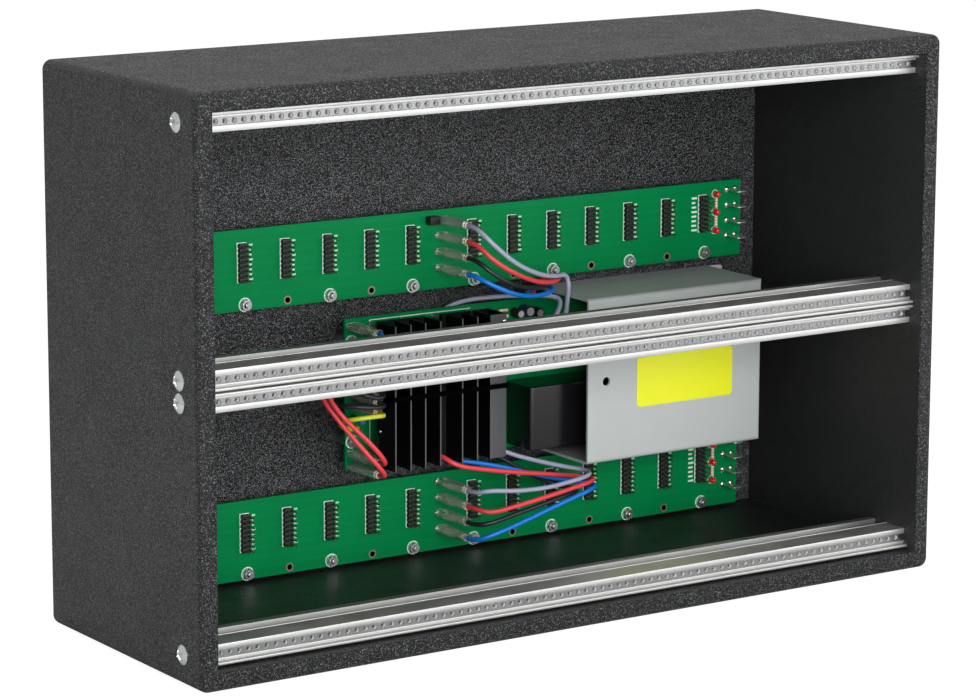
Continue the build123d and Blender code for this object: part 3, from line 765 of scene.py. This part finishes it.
def make_rails():
    """Each rail is its section, with eased corners, carried straight along X. The section has a fine
    groove at the foot of the lip and a bead on the rear edge of its front part. Its rear part has a darker
    copy of the aluminium as painted shade."""
    for name in rows:
        outline = rounded(rail_corners, rail_ease, 3) * (1, row_lip[name]) + (0, row_z[name])
        bars = np.array([along(0, outline, x) for x in inner_x])
        # Faces behind the rear part's depth get the darker aluminium: painted shade.
        halves = divided(loft(bars), lambda centre: centre[:, 1] > rear_part, "rear_aluminium", "aluminium")
        piece(name + "_rail_extrusion", halves, (name + "_rail",))


make_rails()


def tapped_plate(x, y, z, places):
    """One flat plate made of square cells, each with a round hole: the cell's outline and the hole's
    ring share their angles, so the rings between them are plain blends. Layers from the front: outline,
    countersink, bore, back, outline. The bore narrows a little towards the back, and its wall is near
    white as a painted highlight of its lit side."""
    half_x, half_z = pitch / 2, (z[1] - z[0]) / 2
    countersink, entry, narrowed = hole_radius * 1.16, 0.25, hole_radius * 0.93
    thick = y[1] - y[0]
    angle, reach = reach_around(32, (-half_x, half_x), (-half_z, half_z))
    layers = [(reach, 0.0), (countersink, 0.0), (hole_radius, entry), (narrowed, thick), (reach, thick)]
    cell = grid(np.array([along(1, polar(radius, angle), depth) for radius, depth in layers]), close_v=True)
    # The bore's wall is near white: painted highlight.
    bore = divided(cell, lambda c: np.hypot(c[:, 0], c[:, 2]) < hole_radius + 0.01, "thread", "strip")
    centres = [(x0, y[0], sum(z) / 2) for x0 in places]
    plates = [(repeat(shape, centres), finish) for shape, finish in bore]
    wall = np.array([along(1, rectangle(x, z), depth) for depth in y])
    return [*plates, (loft(wall, close_ends=False), "strip")]


def make_strips():
    """The holes of each strip are a pitch apart, counted both ways from its middle."""
    for name, (x, y, z) in rows.items():
        places = sum(x) / 2 + (np.arange(hole_count) - (hole_count - 1) / 2) * pitch
        piece(name + "_tapped_strip", tapped_plate(x, y, z, places), (name + "_strip",), merge=2e-6)


make_strips()

# ---- bus boards ----

bus_rows = ("lower", "upper")
per_half = 7
header_step = 5 * pitch
pin_pitch, pin_rows = 2.54, 8
fixing_shift, fixing_rise = 1.5, 3.1
blade_width = 6.3
tab_rises = (11.3, 19.9, 28.5, 37.1)
lamp_rises, resistor_rises = (15.0, 25.3, 35.3), (20.2, 30.3)


def bus_face(row):
    """Y of a bus board's front."""
    return limits(row + "_bus_board")[1][0]


def risen(row, rises):
    """Heights above the lower edge of a row's bus board."""
    base = limits(row + "_bus_board")[2][0]
    return [base + rise for rise in rises]


def header_places(row):
    """Middles of the headers along X: each half of a row is counted from its own end."""
    x = limits(row + "_connectors")[0]
    first = x[0] + pin_pitch + header_step * np.arange(per_half)
    last = x[1] - pin_pitch - header_step * np.arange(per_half)[::-1]
    return np.concatenate([first, last])


def fixing_spots(row, start):
    """Every second fixing hole of each half of a row, from its first or second one."""
    places = header_places(row)
    chosen = (*places[:per_half][start::2], *places[per_half:][start::2])
    return [(x + fixing_shift, bus_face(row), *risen(row, [fixing_rise])) for x in chosen]


def tab_columns(row):
    """Middles of a bus board's two columns of terminal blades along X."""
    x = limits(row + "_bus_tabs")[0]
    return (x[0] + blade_width / 2, x[1] - blade_width / 2)


def make_headers(row):
    """Black body round each pair of pins, and square pins with narrowed ends."""
    _, y, z = limits(row + "_connectors")
    places = header_places(row)
    heights = sum(z) / 2 + (np.arange(pin_rows) * pin_pitch - (pin_rows - 1) / 2 * pin_pitch)
    corner, ease, shank, tip = 0.75, 0.15, 0.32, 0.14
    body = slab((-pin_pitch, pin_pitch), y, (-pin_pitch / 2, pin_pitch / 2), 1, corner, ease, 3)
    pin = loft(np.array([
        along(1, rectangle((-half, half), (-half, half)), y[0] - length)
        for half, length in ((shank, 0), (shank, 5.4), (tip, 5.9))
    ]))
    pins = [(x + side, 0, h) for x in places for side in (-pin_pitch / 2, pin_pitch / 2) for h in heights]
    bodies = [(x, 0, h) for x in places for h in heights]
    patches = [(repeat(body, bodies), "black"), (repeat(pin, pins), "pin")]
    piece(row + "_pin_headers", patches, (row + "_connectors",))


def printed(face, x, z, radius=0.02):
    """Flat bar of ink on a board's face, a few hundredths of a millimetre high."""
    return slab(x, (face - 0.03, face + 0.01), z, 1, radius, 0.01, 2)


def printed_ring(face, inner, outer):
    """Flat ring on a board's face, about the origin of X and Z."""
    profile = [(inner, 0.0), (inner, -0.05), (outer, -0.05), (outer, 0.0)]
    return turned(profile, (0, face, 0), 1, 28, close=False)


def make_marks(row):
    """Printed lines round the headers, dashes beside them, the bare rings of the spare holes with a flat
    black disc in each as painted shade, and the tabs' solder joints, which are low domes."""
    face, places = bus_face(row), header_places(row)
    middle = sum(limits(row + "_connectors")[2]) / 2
    left, right, border_z = 2.95, 2.75, (middle - 10.35, middle + 10.5)
    marks = [(printed(face, (x0 - left, x0 + right), border_z), "silk") for x0 in places]
    widths = (2.1, 0.9, 1.5, 2.2, 1.6, 1.6, 1.6, 2.2)
    heights = middle + ((pin_rows - 1) / 2 - np.arange(pin_rows)) * pin_pitch
    right_of_header, left_of_last, longer, round_end = 4.3, 7.4, 1.6, 0.2
    for width, height in zip(widths, heights):
        dash = printed(face, (0, width), (-0.5, 0.5), round_end)
        marks.append((repeat(dash, [(x0 + right_of_header, 0, height) for x0 in places[:-1]]), "faint"))
        wide = printed(face, (0, width + longer), (-0.55, 0.55), round_end)
        marks.append((repeat(wide, [(places[-1] - left_of_last, 0, height)]), "silk"))
    spare = fixing_spots(row, 1)
    ring = [(1.5, -0.05), (2.3, -0.05), (2.3, 0.02), (1.5, 0.02)]
    marks.append((repeat(turned(ring, (0, 0, 0), 1, 28, close=False), spare), "copper"))
    # A flat black disc just inside each spare hole: painted shade.
    bore = [(0.0, -0.03), (1.5, -0.03), (1.5, 0.0)]
    marks.append((repeat(turned(bore, (0, 0, 0), 1, 24, close=False), spare), "hole"))
    dome = [(0.0, -0.75), (0.7, -0.9), (1.2, -0.75), (1.6, -0.35), (1.85, 0.0)]
    joint = turned(dome, (0, face, 0), 1, 20, close=False)
    beside = (-2.3, 3.3)
    joints = [(x0 + dx, 0, h) for x0 in tab_columns(row) for dx in beside for h in risen(row, tab_rises)]
    marks.append((repeat(joint, joints), "solder"))
    piece(row + "_board_marks", marks)


for row in bus_rows:
    dress(row + "_bus_board", "green")
    make_headers(row)
    make_marks(row)


def make_link_block():
    """Small black link block beside the highest tab of the upper board."""
    x, face = tab_columns("upper")[0], bus_face("upper")
    body = slab((x - 9.8, x - 3.4), (face - 5.2, face), risen("upper", (35.0, 39.3)), 1, 0.5, 0.3, 4)
    piece("link_block", [(body, "black")])


make_link_block()


def blade(x, z, y):
    """Push-on terminal blade: flat, with its free end narrowed. Its edges are eased, since its two faces
    are drawn in towards the middle by a small share."""
    half_w, half, taper, ease = blade_width / 2, 0.8 / 2, 0.9, 0.12
    outline = rounded(
        [(x - half_w, y[1]), (x - half_w, y[0] + taper), (x - half_w + taper, y[0]),
         (x + half_w - taper, y[0]), (x + half_w, y[0] + taper), (x + half_w, y[1])], 0.15, 3,
    )
    middle = outline.mean(0)
    layers = [(ease, z - half), (0.0, z - half + ease), (0.0, z + half - ease), (ease, z + half)]
    stack = [along(2, middle + (outline - middle) * (1 - inset / 3), height) for inset, height in layers]
    return loft(np.array(stack))


def make_tabs(node, columns, heights):
    """A blade at each height of each column."""
    y = limits(node)[1]
    blades = [(blade(x, z, y), "tin") for x in columns for z in heights]
    piece(node + "_blades", blades, (node,))


for row in bus_rows:
    make_tabs(row + "_bus_tabs", tab_columns(row), risen(row, tab_rises))
supply_heights = (65.0, 71.5, 97.8, 103.5, 109.0, 139.5)
supply_x = sum(limits("supply_tabs")[0]) / 2
make_tabs("supply_tabs", (supply_x,), supply_heights)


def sleeve_shell(x, z, y):
    """Clear sleeve over a crimped terminal: a rounded oblong carried along Y, (a * cos ** 0.62, b * sin
    ** 0.62). It is full at the board, drawn in over the crimp and nearly round where the wire enters."""
    width, high, wall = 8.0, 4.4, 0.45
    share, angle = np.linspace(0, 1, 22), around(28)
    drawn_in = np.clip((share - 0.45) / 0.2, 0, 1)
    half_w = width / 2 - 1.5 * drawn_in ** 1.5
    half_h = high / 2 - 0.15 * drawn_in

    def layer(a, b, s):
        oblong = np.sign(polar(1, angle)) * abs(polar(1, angle)) ** 0.62
        return along(1, oblong * (a, b) + (x, z), y[1] - s * (y[1] - y[0]))

    outer = [layer(a, b, s) for a, b, s in zip(half_w, half_h, share)]
    inner = [layer(a - wall, b - wall, s) for a, b, s in zip(half_w, half_h, share)]
    return grid(np.array(outer + inner[::-1]), close_u=True, close_v=True)


def crimp(x, z, y):
    """Rolled barrel of the terminal inside its sleeve: a flat socket round the blade, then two waists
    where it grips the insulation and the wire."""
    share = np.linspace(0, 1, 30)
    stations = [0, 0.38, 0.46, 0.6, 0.7, 0.8, 1]
    half_w = np.interp(share, stations, [3.3, 3.3, 1.7, 1.5, 1.9, 1.55, 1.75]) - 0.12 * np.sin(share * 60)
    half_h = np.interp(share, stations, [1.1, 1.1, 1.4, 1.25, 1.6, 1.4, 1.6])
    ring = polar(1, around(20))
    start, end = y[1] - 2.5, y[0] + 3.0
    rings = [
        along(1, ring * (a, b) + (x, z), start + s * (end - start)) for s, a, b in zip(share, half_w, half_h)
    ]
    return loft(np.array(rings))


def make_sleeves(node, x, heights):
    """A clear sleeve with its crimp inside at each height of one column."""
    y = limits(node)[1]
    shells = [(sleeve_shell(x, z, y), "clear") for z in heights]
    crimps = [(crimp(x, z, y), "brass") for z in heights]
    piece(node + "_shells", shells, (node,), crease=60)
    piece(node + "_crimps", crimps, crease=60)


for row in bus_rows:
    make_sleeves(row + "_feed_sleeves", tab_columns(row)[0], risen(row, tab_rises))
make_sleeves("supply_sleeves", supply_x, supply_heights)


def hexagon(radius, turn, cut=0.0):
    """Hexagon sampled at even angles: radius * cos(30) / cos(angle from the nearest flat's middle), and
    never more than the radius less the cut, which turns its corners off."""
    angle = around(24)
    flat = (angle + np.pi / 6) % (np.pi / 3) - np.pi / 6
    return polar(np.minimum(radius * np.cos(np.pi / 6) / np.cos(flat), radius - cut), angle + turn)


def nut(turn):
    """Nut about Y from the board's face forwards, with its outer corners turned off and a countersunk
    bore."""
    radius, high, bore = 3.2, 2.4, 1.5
    angle = around(24) + turn
    layers = [
        (hexagon(radius, turn), 0.0), (hexagon(radius, turn), 0.45 - high),
        (hexagon(radius, turn, 0.42), -high), (polar(bore + 0.25, angle), -high),
        (polar(bore, angle), 0.3 - high), (polar(bore, angle), 0.0),
    ]
    return grid(np.array([along(1, outline, y) for outline, y in layers]), close_u=True, close_v=True)


def stud():
    """Threaded end about Y: its radius ripples with the thread, 1.42 + 0.09 * sin(turns), and it ends in
    a dome."""
    depth = np.linspace(0, 3.4, 24)
    radius = 1.42 + 0.09 * np.sin(depth * 2 * np.pi / 0.5)
    dome = [(1.25, -3.7), (0.85, -3.95), (0.0, -4.0)]
    return turned([*zip(radius, -depth), *dome], (0, 0, 0), 1, 20)


def make_nuts():
    """Nuts, studs and the pale rings round them on every board."""
    spots = [spot for row in bus_rows for spot in fixing_spots(row, 0)]
    face = limits("supply_board")[1][0]
    x, _, z = limits("supply_stand_offs")
    half_x, half_z = 3, 2.6
    spots += [(a, face, b) for a in (x[0] + half_x, x[1] - half_x) for b in (z[0] + half_z, z[1] - half_z)]
    parts = []
    for i, spot in enumerate(spots):
        parts.append((repeat(nut(0.35 + 1.7 * i), [spot]), "nut"))
        parts.append((repeat(stud(), [spot]), "nut"))
    parts.append((repeat(printed_ring(0, 3.1, 3.7), spots), "silk"))
    piece("board_nuts_and_studs", parts, ("board_nuts",), crease=40)


make_nuts()


def make_lamps():
    """Lamps about Y: a flange, a straight bulb and a dome on its end."""
    x, y, _ = limits("bus_lamps")
    bulb, straight, dome_height = 1.62, -2.5, 1.6
    angle = np.linspace(0, np.pi / 2, 8)
    lens = [(1.7, 0.0), (1.7, -0.5), (bulb, -0.6), (bulb, straight)]
    lens += zip(bulb * np.cos(angle), straight - dome_height * np.sin(angle))
    places = [(sum(x) / 2, 0, h) for row in bus_rows for h in risen(row, lamp_rises)]
    lamps = repeat(turned(lens, (0, y[1], 0), 1, 28), places)
    rings = repeat(printed_ring(y[1], 2.0, 2.35), places)
    piece("lamp_lenses", [(lamps, "red"), (rings, "silk")], ("bus_lamps",))


def make_resistors():
    """Dumb-bell bodies turned about Z."""
    x, y, _ = limits("bus_resistors")
    body = [(0.0, -3.0), (0.75, -2.95), (1.05, -2.6), (1.08, -2.0), (0.92, -1.6), (0.92, 1.6),
            (1.08, 2.0), (1.05, 2.6), (0.75, 2.95), (0.0, 3.0)]
    centres = [(sum(x) / 2, sum(y) / 2, h) for row in bus_rows for h in risen(row, resistor_rises)]
    bodies = repeat(turned(body, (0, 0, 0), 2, 20), centres)
    piece("resistor_bodies", [(bodies, "bands")], ("bus_resistors",), crease=60)


make_lamps()
make_resistors()
dress("bus_stand_offs", "zinc")
dress("supply_stand_offs", "zinc")

# ---- power supply ----

sink_root, sink_back, fin_half, sink_ease = 117.0, 120.0, 0.6, 0.28
box_left, box_front, box_wall, flange_half = 8.5, 102.5, 1.4, 4.5
# Depth in front of which the fin tips get their painted highlight.
tip_highlight_depth = 0.03


def finned(fins, left, right, tips, z):
    """Plan outline of a base with fins on its front, from its left rear corner round to its right one,
    with eased corners, carried straight up. The fins' tips are a paler grey, a painted highlight."""
    outline = [(left, sink_back), (left, sink_root)]
    for x in fins:
        outline += [(x - fin_half, sink_root), (x - fin_half, tips)]
        outline += [(x + fin_half, tips), (x + fin_half, sink_root)]
    outline.append((right, sink_back))
    body = loft(np.array([along(2, rounded(outline, sink_ease, 3), height) for height in z]))
    # The tips' faces get the paler grey: painted highlight.
    return divided(body, lambda centre: centre[:, 1] < tips + tip_highlight_depth, "edge", "anodised")


def make_left_sink():
    """Four fins on a plain base."""
    x, (tips, _), z = limits("left_heat_sink")
    faces = finned((-50.4, -41.1, -32.1, -22.8), x[0], x[1], tips, z)
    piece("left_sink_extrusion", faces, ("left_heat_sink",))


def make_right_sink():
    """Two fins beside an upright box, whose outline is carried up outside and down again inside. The
    box's front has the flange's finish in its middle and the paler grey of a painted highlight beside it."""
    x, (tips, _), z = limits("right_heat_sink")
    fins = finned((-9.2, 0.2), x[0], box_left + 0.4, tips, z)
    layers = ((0.0, z[0]), (0.0, z[1]), (box_wall, z[1]), (box_wall, z[0]))
    box = grid(np.array([
        along(2, rounded(rectangle((box_left, x[1]), (box_front, sink_back), inset), 0.3, 3), height)
        for inset, height in layers
    ]), close_u=True, close_v=True)
    # The box's front edges get the paler grey: painted highlight.
    front, rest = divided(box, lambda centre: centre[:, 1] < box_front + 0.2, "edge", "anodised")
    middle = (box_left + x[1]) / 2
    front = divided(front[0], lambda c: abs(c[:, 0] - middle) < flange_half, "flange", "edge")
    piece("right_sink_extrusion", [*fins, *front, rest], ("right_heat_sink",))


def make_sink_screws():
    """One small head on the left sink's side and one on the right sink's front."""
    side = limits("left_heat_sink")[0][0] - 0.02
    x, _, z = limits("right_heat_sink")
    heads = []
    for place, axis, radius in (
        ((side, 116.0, 86.0), 0, 1.0), ((x[1] - 1.5, box_front, z[1] - 4.0), 1, 1.2),
    ):
        head = [(radius, 0.0), (radius, -0.3), (radius * 0.8, -0.6), (0.0, -0.75)]
        heads.append((turned(head, place, axis, 16), "bright"))
    piece("sink_screws", heads, crease=50)


make_left_sink()
make_right_sink()
make_sink_screws()
dress("heat_sink_pins", "zinc")
dress("heat_sink_tie", "tie")
dress("voltage_regulators", "black")
dress("supply_board", "green")


def make_module():
    """Potted block with rounded upright edges and eased ends."""
    body = slab(*limits("power_module"), axis=2, radius=3.0, ease=0.7, steps=8)
    piece("module_case_block", [(body, "module")], ("power_module",))


def make_capacitors():
    """Two cans about Y: a raised rim and a groove round the front end, and a straight sleeve."""
    x, y, z = limits("supply_capacitors")
    radius = 9
    can = [(0.0, 0.35), (7.2, 0.35), (7.6, 0.1), (8.4, 0.0), (8.9, 0.5), (8.9, 3.0), (8.5, 3.6),
           (8.9, 4.2), (8.95, 29.0), (8.6, 30.0)]
    places = [(x0, y[0], sum(z) / 2) for x0 in (x[0] + radius, x[1] - radius)]
    cans = [(turned(can, place, 1, 40), "capacitor") for place in places]
    piece("capacitor_cans", cans, ("supply_capacitors",))


make_module()
make_capacitors()


def make_small_parts():
    """Small parts and printed lines on the supply board: upright cans and a lamp turned about Y, eased
    blocks, resistors turned about X and solder domes."""
    face = limits("supply_board")[1][0]
    lamp = [(1.5, 0.0), (1.5, -2.6), (1.3, -3.4), (0.8, -3.9), (0.0, -4.1)]
    parts = [
        (printed(face, (-46.7, -46.2), (76.0, 141.3)), "silk"),
        (printed(face, (-46.7, 16.5), (141.3, 141.8)), "silk"),
        (slab((-58.0, -55.3), (face - 3.0, face), (88.9, 91.4), 1, 0.6, 0.4, 4), "white"),
        (slab((-54.2, -50.8), (face - 3.5, face), (87.2, 90.2), 1, 0.8, 0.6, 4), "blue_part"),
        (turned(lamp, (-54.5, face, 83.4), 1, 20), "red"),
    ]
    cans = ((44.5, 136.5, 2.6, "black"), (50.5, 137.2, 3.2, "capacitor"), (57.0, 135.8, 2.8, "black"))
    side, lid = [(1.0, 0.0), (1.0, -6.6), (0.92, -7.0), (0.7, -7.0)], [(0.7, -7.0), (0.0, -6.9)]
    for x, z, radius, sleeve in cans:
        for profile, finish in ((side, sleeve), (lid, "tin")):
            scaled = [(share * radius, depth) for share, depth in profile]
            parts.append((turned(scaled, (x, face, z), 1, 24, close=False), finish))
    banded = [(0.0, -3.0), (0.75, -2.95), (1.05, -2.6), (0.92, -1.6), (0.92, 1.6), (1.05, 2.6),
              (0.75, 2.95), (0.0, 3.0)]
    parts += [(turned(banded, (x, face - 1.3, z), 0, 16), "bands") for x, z in ((36.5, 138.4), (37.0, 135.0))]
    dome = turned([(0.0, -0.5), (0.45, -0.4), (0.8, 0.0)], (0, face, 0), 1, 12, close=False)
    spots = [(-59.3 + 2.2 * column, 0, 73.0 + 2.3 * line) for line in range(2) for column in range(3)]
    parts.append((repeat(dome, spots), "solder"))
    piece("supply_small_parts", parts, crease=40)


make_small_parts()


def holed_front(x, y, z, hole_x, hole_z, radius):
    """Flat front between its outline and a round hole: both are read at the same angles about the hole's
    centre."""
    angle, reach = reach_around(48, np.subtract(x, hole_x), np.subtract(z, hole_z))
    rings = [along(1, polar(r, angle) + (hole_x, hole_z), y) for r in (radius, reach)]
    return grid(np.array(rings), close_v=True)


def make_cover():
    """Folded sheet, open on the left. Its front view is carried back from the face, first round the
    bends, inset = bend * (1 - sin(angle)) at depth bend * (1 - cos(angle)), then straight to the rear
    board, and forward again a sheet's thickness inside. The front has a round hole, and a foot lies on
    the rear board at the right."""
    x, y, z = limits("supply_cover")
    thick, bend, foot_width = 1.4, 2.2, 9.4
    hole_x, hole_z, radius = 78.5, 101.4, 2.35
    right = x[1] - foot_width
    angle = np.linspace(0, np.pi / 2, 8)

    def view(inset, depth):
        """The front view, drawn in on its three bent sides."""
        low, high = z[0] + inset, z[1] - inset
        outline = [(x[0], low), (right - inset, low), (right - inset, high), (x[0], high)]
        return along(1, np.array(outline), depth)

    def bent(skin, r):
        """The bends of a skin that lies this far inside the outer one."""
        return [view(skin + r * (1 - np.sin(a)), y[0] + skin + r * (1 - np.cos(a))) for a in angle]

    outer = np.array([*bent(0.0, bend), view(0.0, y[1] - thick), view(0.0, y[1])])
    inner = np.array([*bent(thick, bend - thick), view(thick, y[1])])
    stack = np.concatenate([outer, inner[::-1]])
    patches = [grid(stack[:, [side, side + 1]]) for side in range(3)]
    patches += [grid(np.stack([outer[:-1, corner], inner[:, corner]], 1)) for corner in (0, 3)]
    for skin, depth in ((outer[0], y[0]), (inner[0], y[0] + thick)):
        low, high = skin.min(0), skin.max(0)
        patches.append(holed_front((low[0], high[0]), depth, (low[2], high[2]), hole_x, hole_z, radius))
    bore = [(radius, 0.0), (radius, thick)]
    patches.append(turned(bore, (hole_x, y[0], hole_z), 1, 48, close=False))
    patches.append(grid(np.array([outer[0][[0, 3]], inner[0][[0, 3]]])))
    patches.append(slab((right - 0.2, x[1]), (y[1] - thick, y[1]), z, 1, 1.5, 0.15, 4))
    sheet = [(patch, "cover") for patch in patches]
    piece("folded_cover_sheet", sheet, ("supply_cover",), crease=30, merge=1e-6)


make_cover()


def make_label():
    """Thin bare plate with rounded corners."""
    body = slab(*limits("cover_label"), axis=1, radius=2.4, ease=0.05, steps=8)
    piece("label_sheet", [(body, "yellow")], ("cover_label",))


def make_cover_screws():
    """Heads that stand forward of the cover's foot."""
    x, y, z = limits("cover_screws")
    radius, inset = 2.95, 3
    head = head_about_y(radius, y[1] - y[0], -1)
    places = [(sum(x) / 2, y[1], height) for height in (z[0] + inset, z[1] - inset)]
    heads = [(repeat(head, places), "bright")]
    piece("cover_screw_heads", heads, ("cover_screws",), crease=50)


def make_inlet_screws():
    """Heads that stand out behind the rear board."""
    x, y, z = limits("mains_inlet_screws")
    radius, inset = 2.75, 2.8
    head = head_about_y(radius, y[1] - y[0], 1)
    places = [(x0, y[0], sum(z) / 2) for x0 in (x[0] + inset, x[1] - inset)]
    heads = [(repeat(head, places), "bright")]
    piece("inlet_screw_heads", heads, ("mains_inlet_screws",), crease=50)


make_label()
make_cover_screws()
dress("mains_inlet", "black")
dress("mains_inlet_pins", "tin")
make_inlet_screws()

# ---- light and floor ----


def seen_white(n):
    """1 for rays from the camera and from clear pieces, and part of that for gloss."""
    gloss_share = 0.40
    rays = n.add("ShaderNodeLightPath").outputs
    gloss = n.math("MULTIPLY", rays["Is Glossy Ray"], gloss_share)
    straight = n.math("ADD", rays["Is Camera Ray"], rays["Is Transmission Ray"])
    return n.math("ADD", straight, gloss, clamp=True)


def make_world():
    """Pale surroundings: white where the camera, a gloss or a clear piece looks at them, and dimmer as
    a light."""
    world = bpy.data.worlds.new("studio")
    bpy.context.scene.world = world
    world.use_nodes = True
    n = Nodes(world.node_tree)
    background = world.node_tree.nodes["Background"]
    background.inputs["Color"].default_value = (1, 1, 1, 1)
    as_light, seen = 0.22, 1.0
    n.set(background.inputs["Strength"], n.span(seen_white(n), 0, 1, as_light, seen))


def soft_lamp(name, place, target, size, power):
    """Oblong lamp, (width, height) in metres, that faces its target."""
    light = bpy.data.lights.new(name, "AREA")
    light.shape, light.size, light.size_y, light.energy = "RECTANGLE", size[0], size[1], power
    lamp = bpy.data.objects.new(name, light)
    lamp.location = place
    lamp.rotation_euler = (Vector(target) - Vector(place)).to_track_quat("-Z", "Y").to_euler()
    bpy.context.scene.collection.objects.link(lamp)


def make_floor():
    """Wide pale floor that glows to the camera alone, over part of its own shade, and keeps the
    shadow."""
    half, glow_strength, glow_share = 6, 1.40, 0.65
    mesh = bpy.data.meshes.new("floor")
    mesh.from_pydata(along(2, rectangle((-half, half), (-half, half)), 0).tolist(), [], [(0, 1, 2, 3)])
    floor = bpy.data.objects.new("floor", mesh)
    bpy.context.scene.collection.objects.link(floor)
    material, n, shader, place = finish_of("pale_floor")
    marks = use(n, grain, Vector=place, Fineness=30.0)
    colour_between(n, shader, marks["Cloud"], (0.86, 0.86, 0.86), (0.88, 0.88, 0.88))
    shader.inputs["Roughness"].default_value = 0.7
    glow = n.add("ShaderNodeEmission", {"Color": (1, 1, 1, 1), "Strength": glow_strength})
    rays = n.add("ShaderNodeLightPath").outputs
    mixer = n.add("ShaderNodeMixShader", {0: n.math("MULTIPLY", rays["Is Camera Ray"], glow_share)})
    n.set(mixer.inputs[1], shader.outputs[0])
    n.set(mixer.inputs[2], glow.outputs[0])
    n.set(n.tree.nodes["Material Output"].inputs["Surface"], mixer.outputs[0])
    mesh.materials.append(material)


make_world()
soft_lamp("key", (-0.8, -2.6, 0.65), (0, 0, 0.15), (1.9, 1.4), 66)
soft_lamp("fill", (1.7, -2.1, 0.55), (0, 0, 0.15), (2.6, 1.8), 36)
soft_lamp("top", (0.0, 0.3, 2.2), (0, 0, 0.2), (1.8, 1.2), 16)
make_floor()

bpy.context.scene.view_settings.view_transform = "Standard"
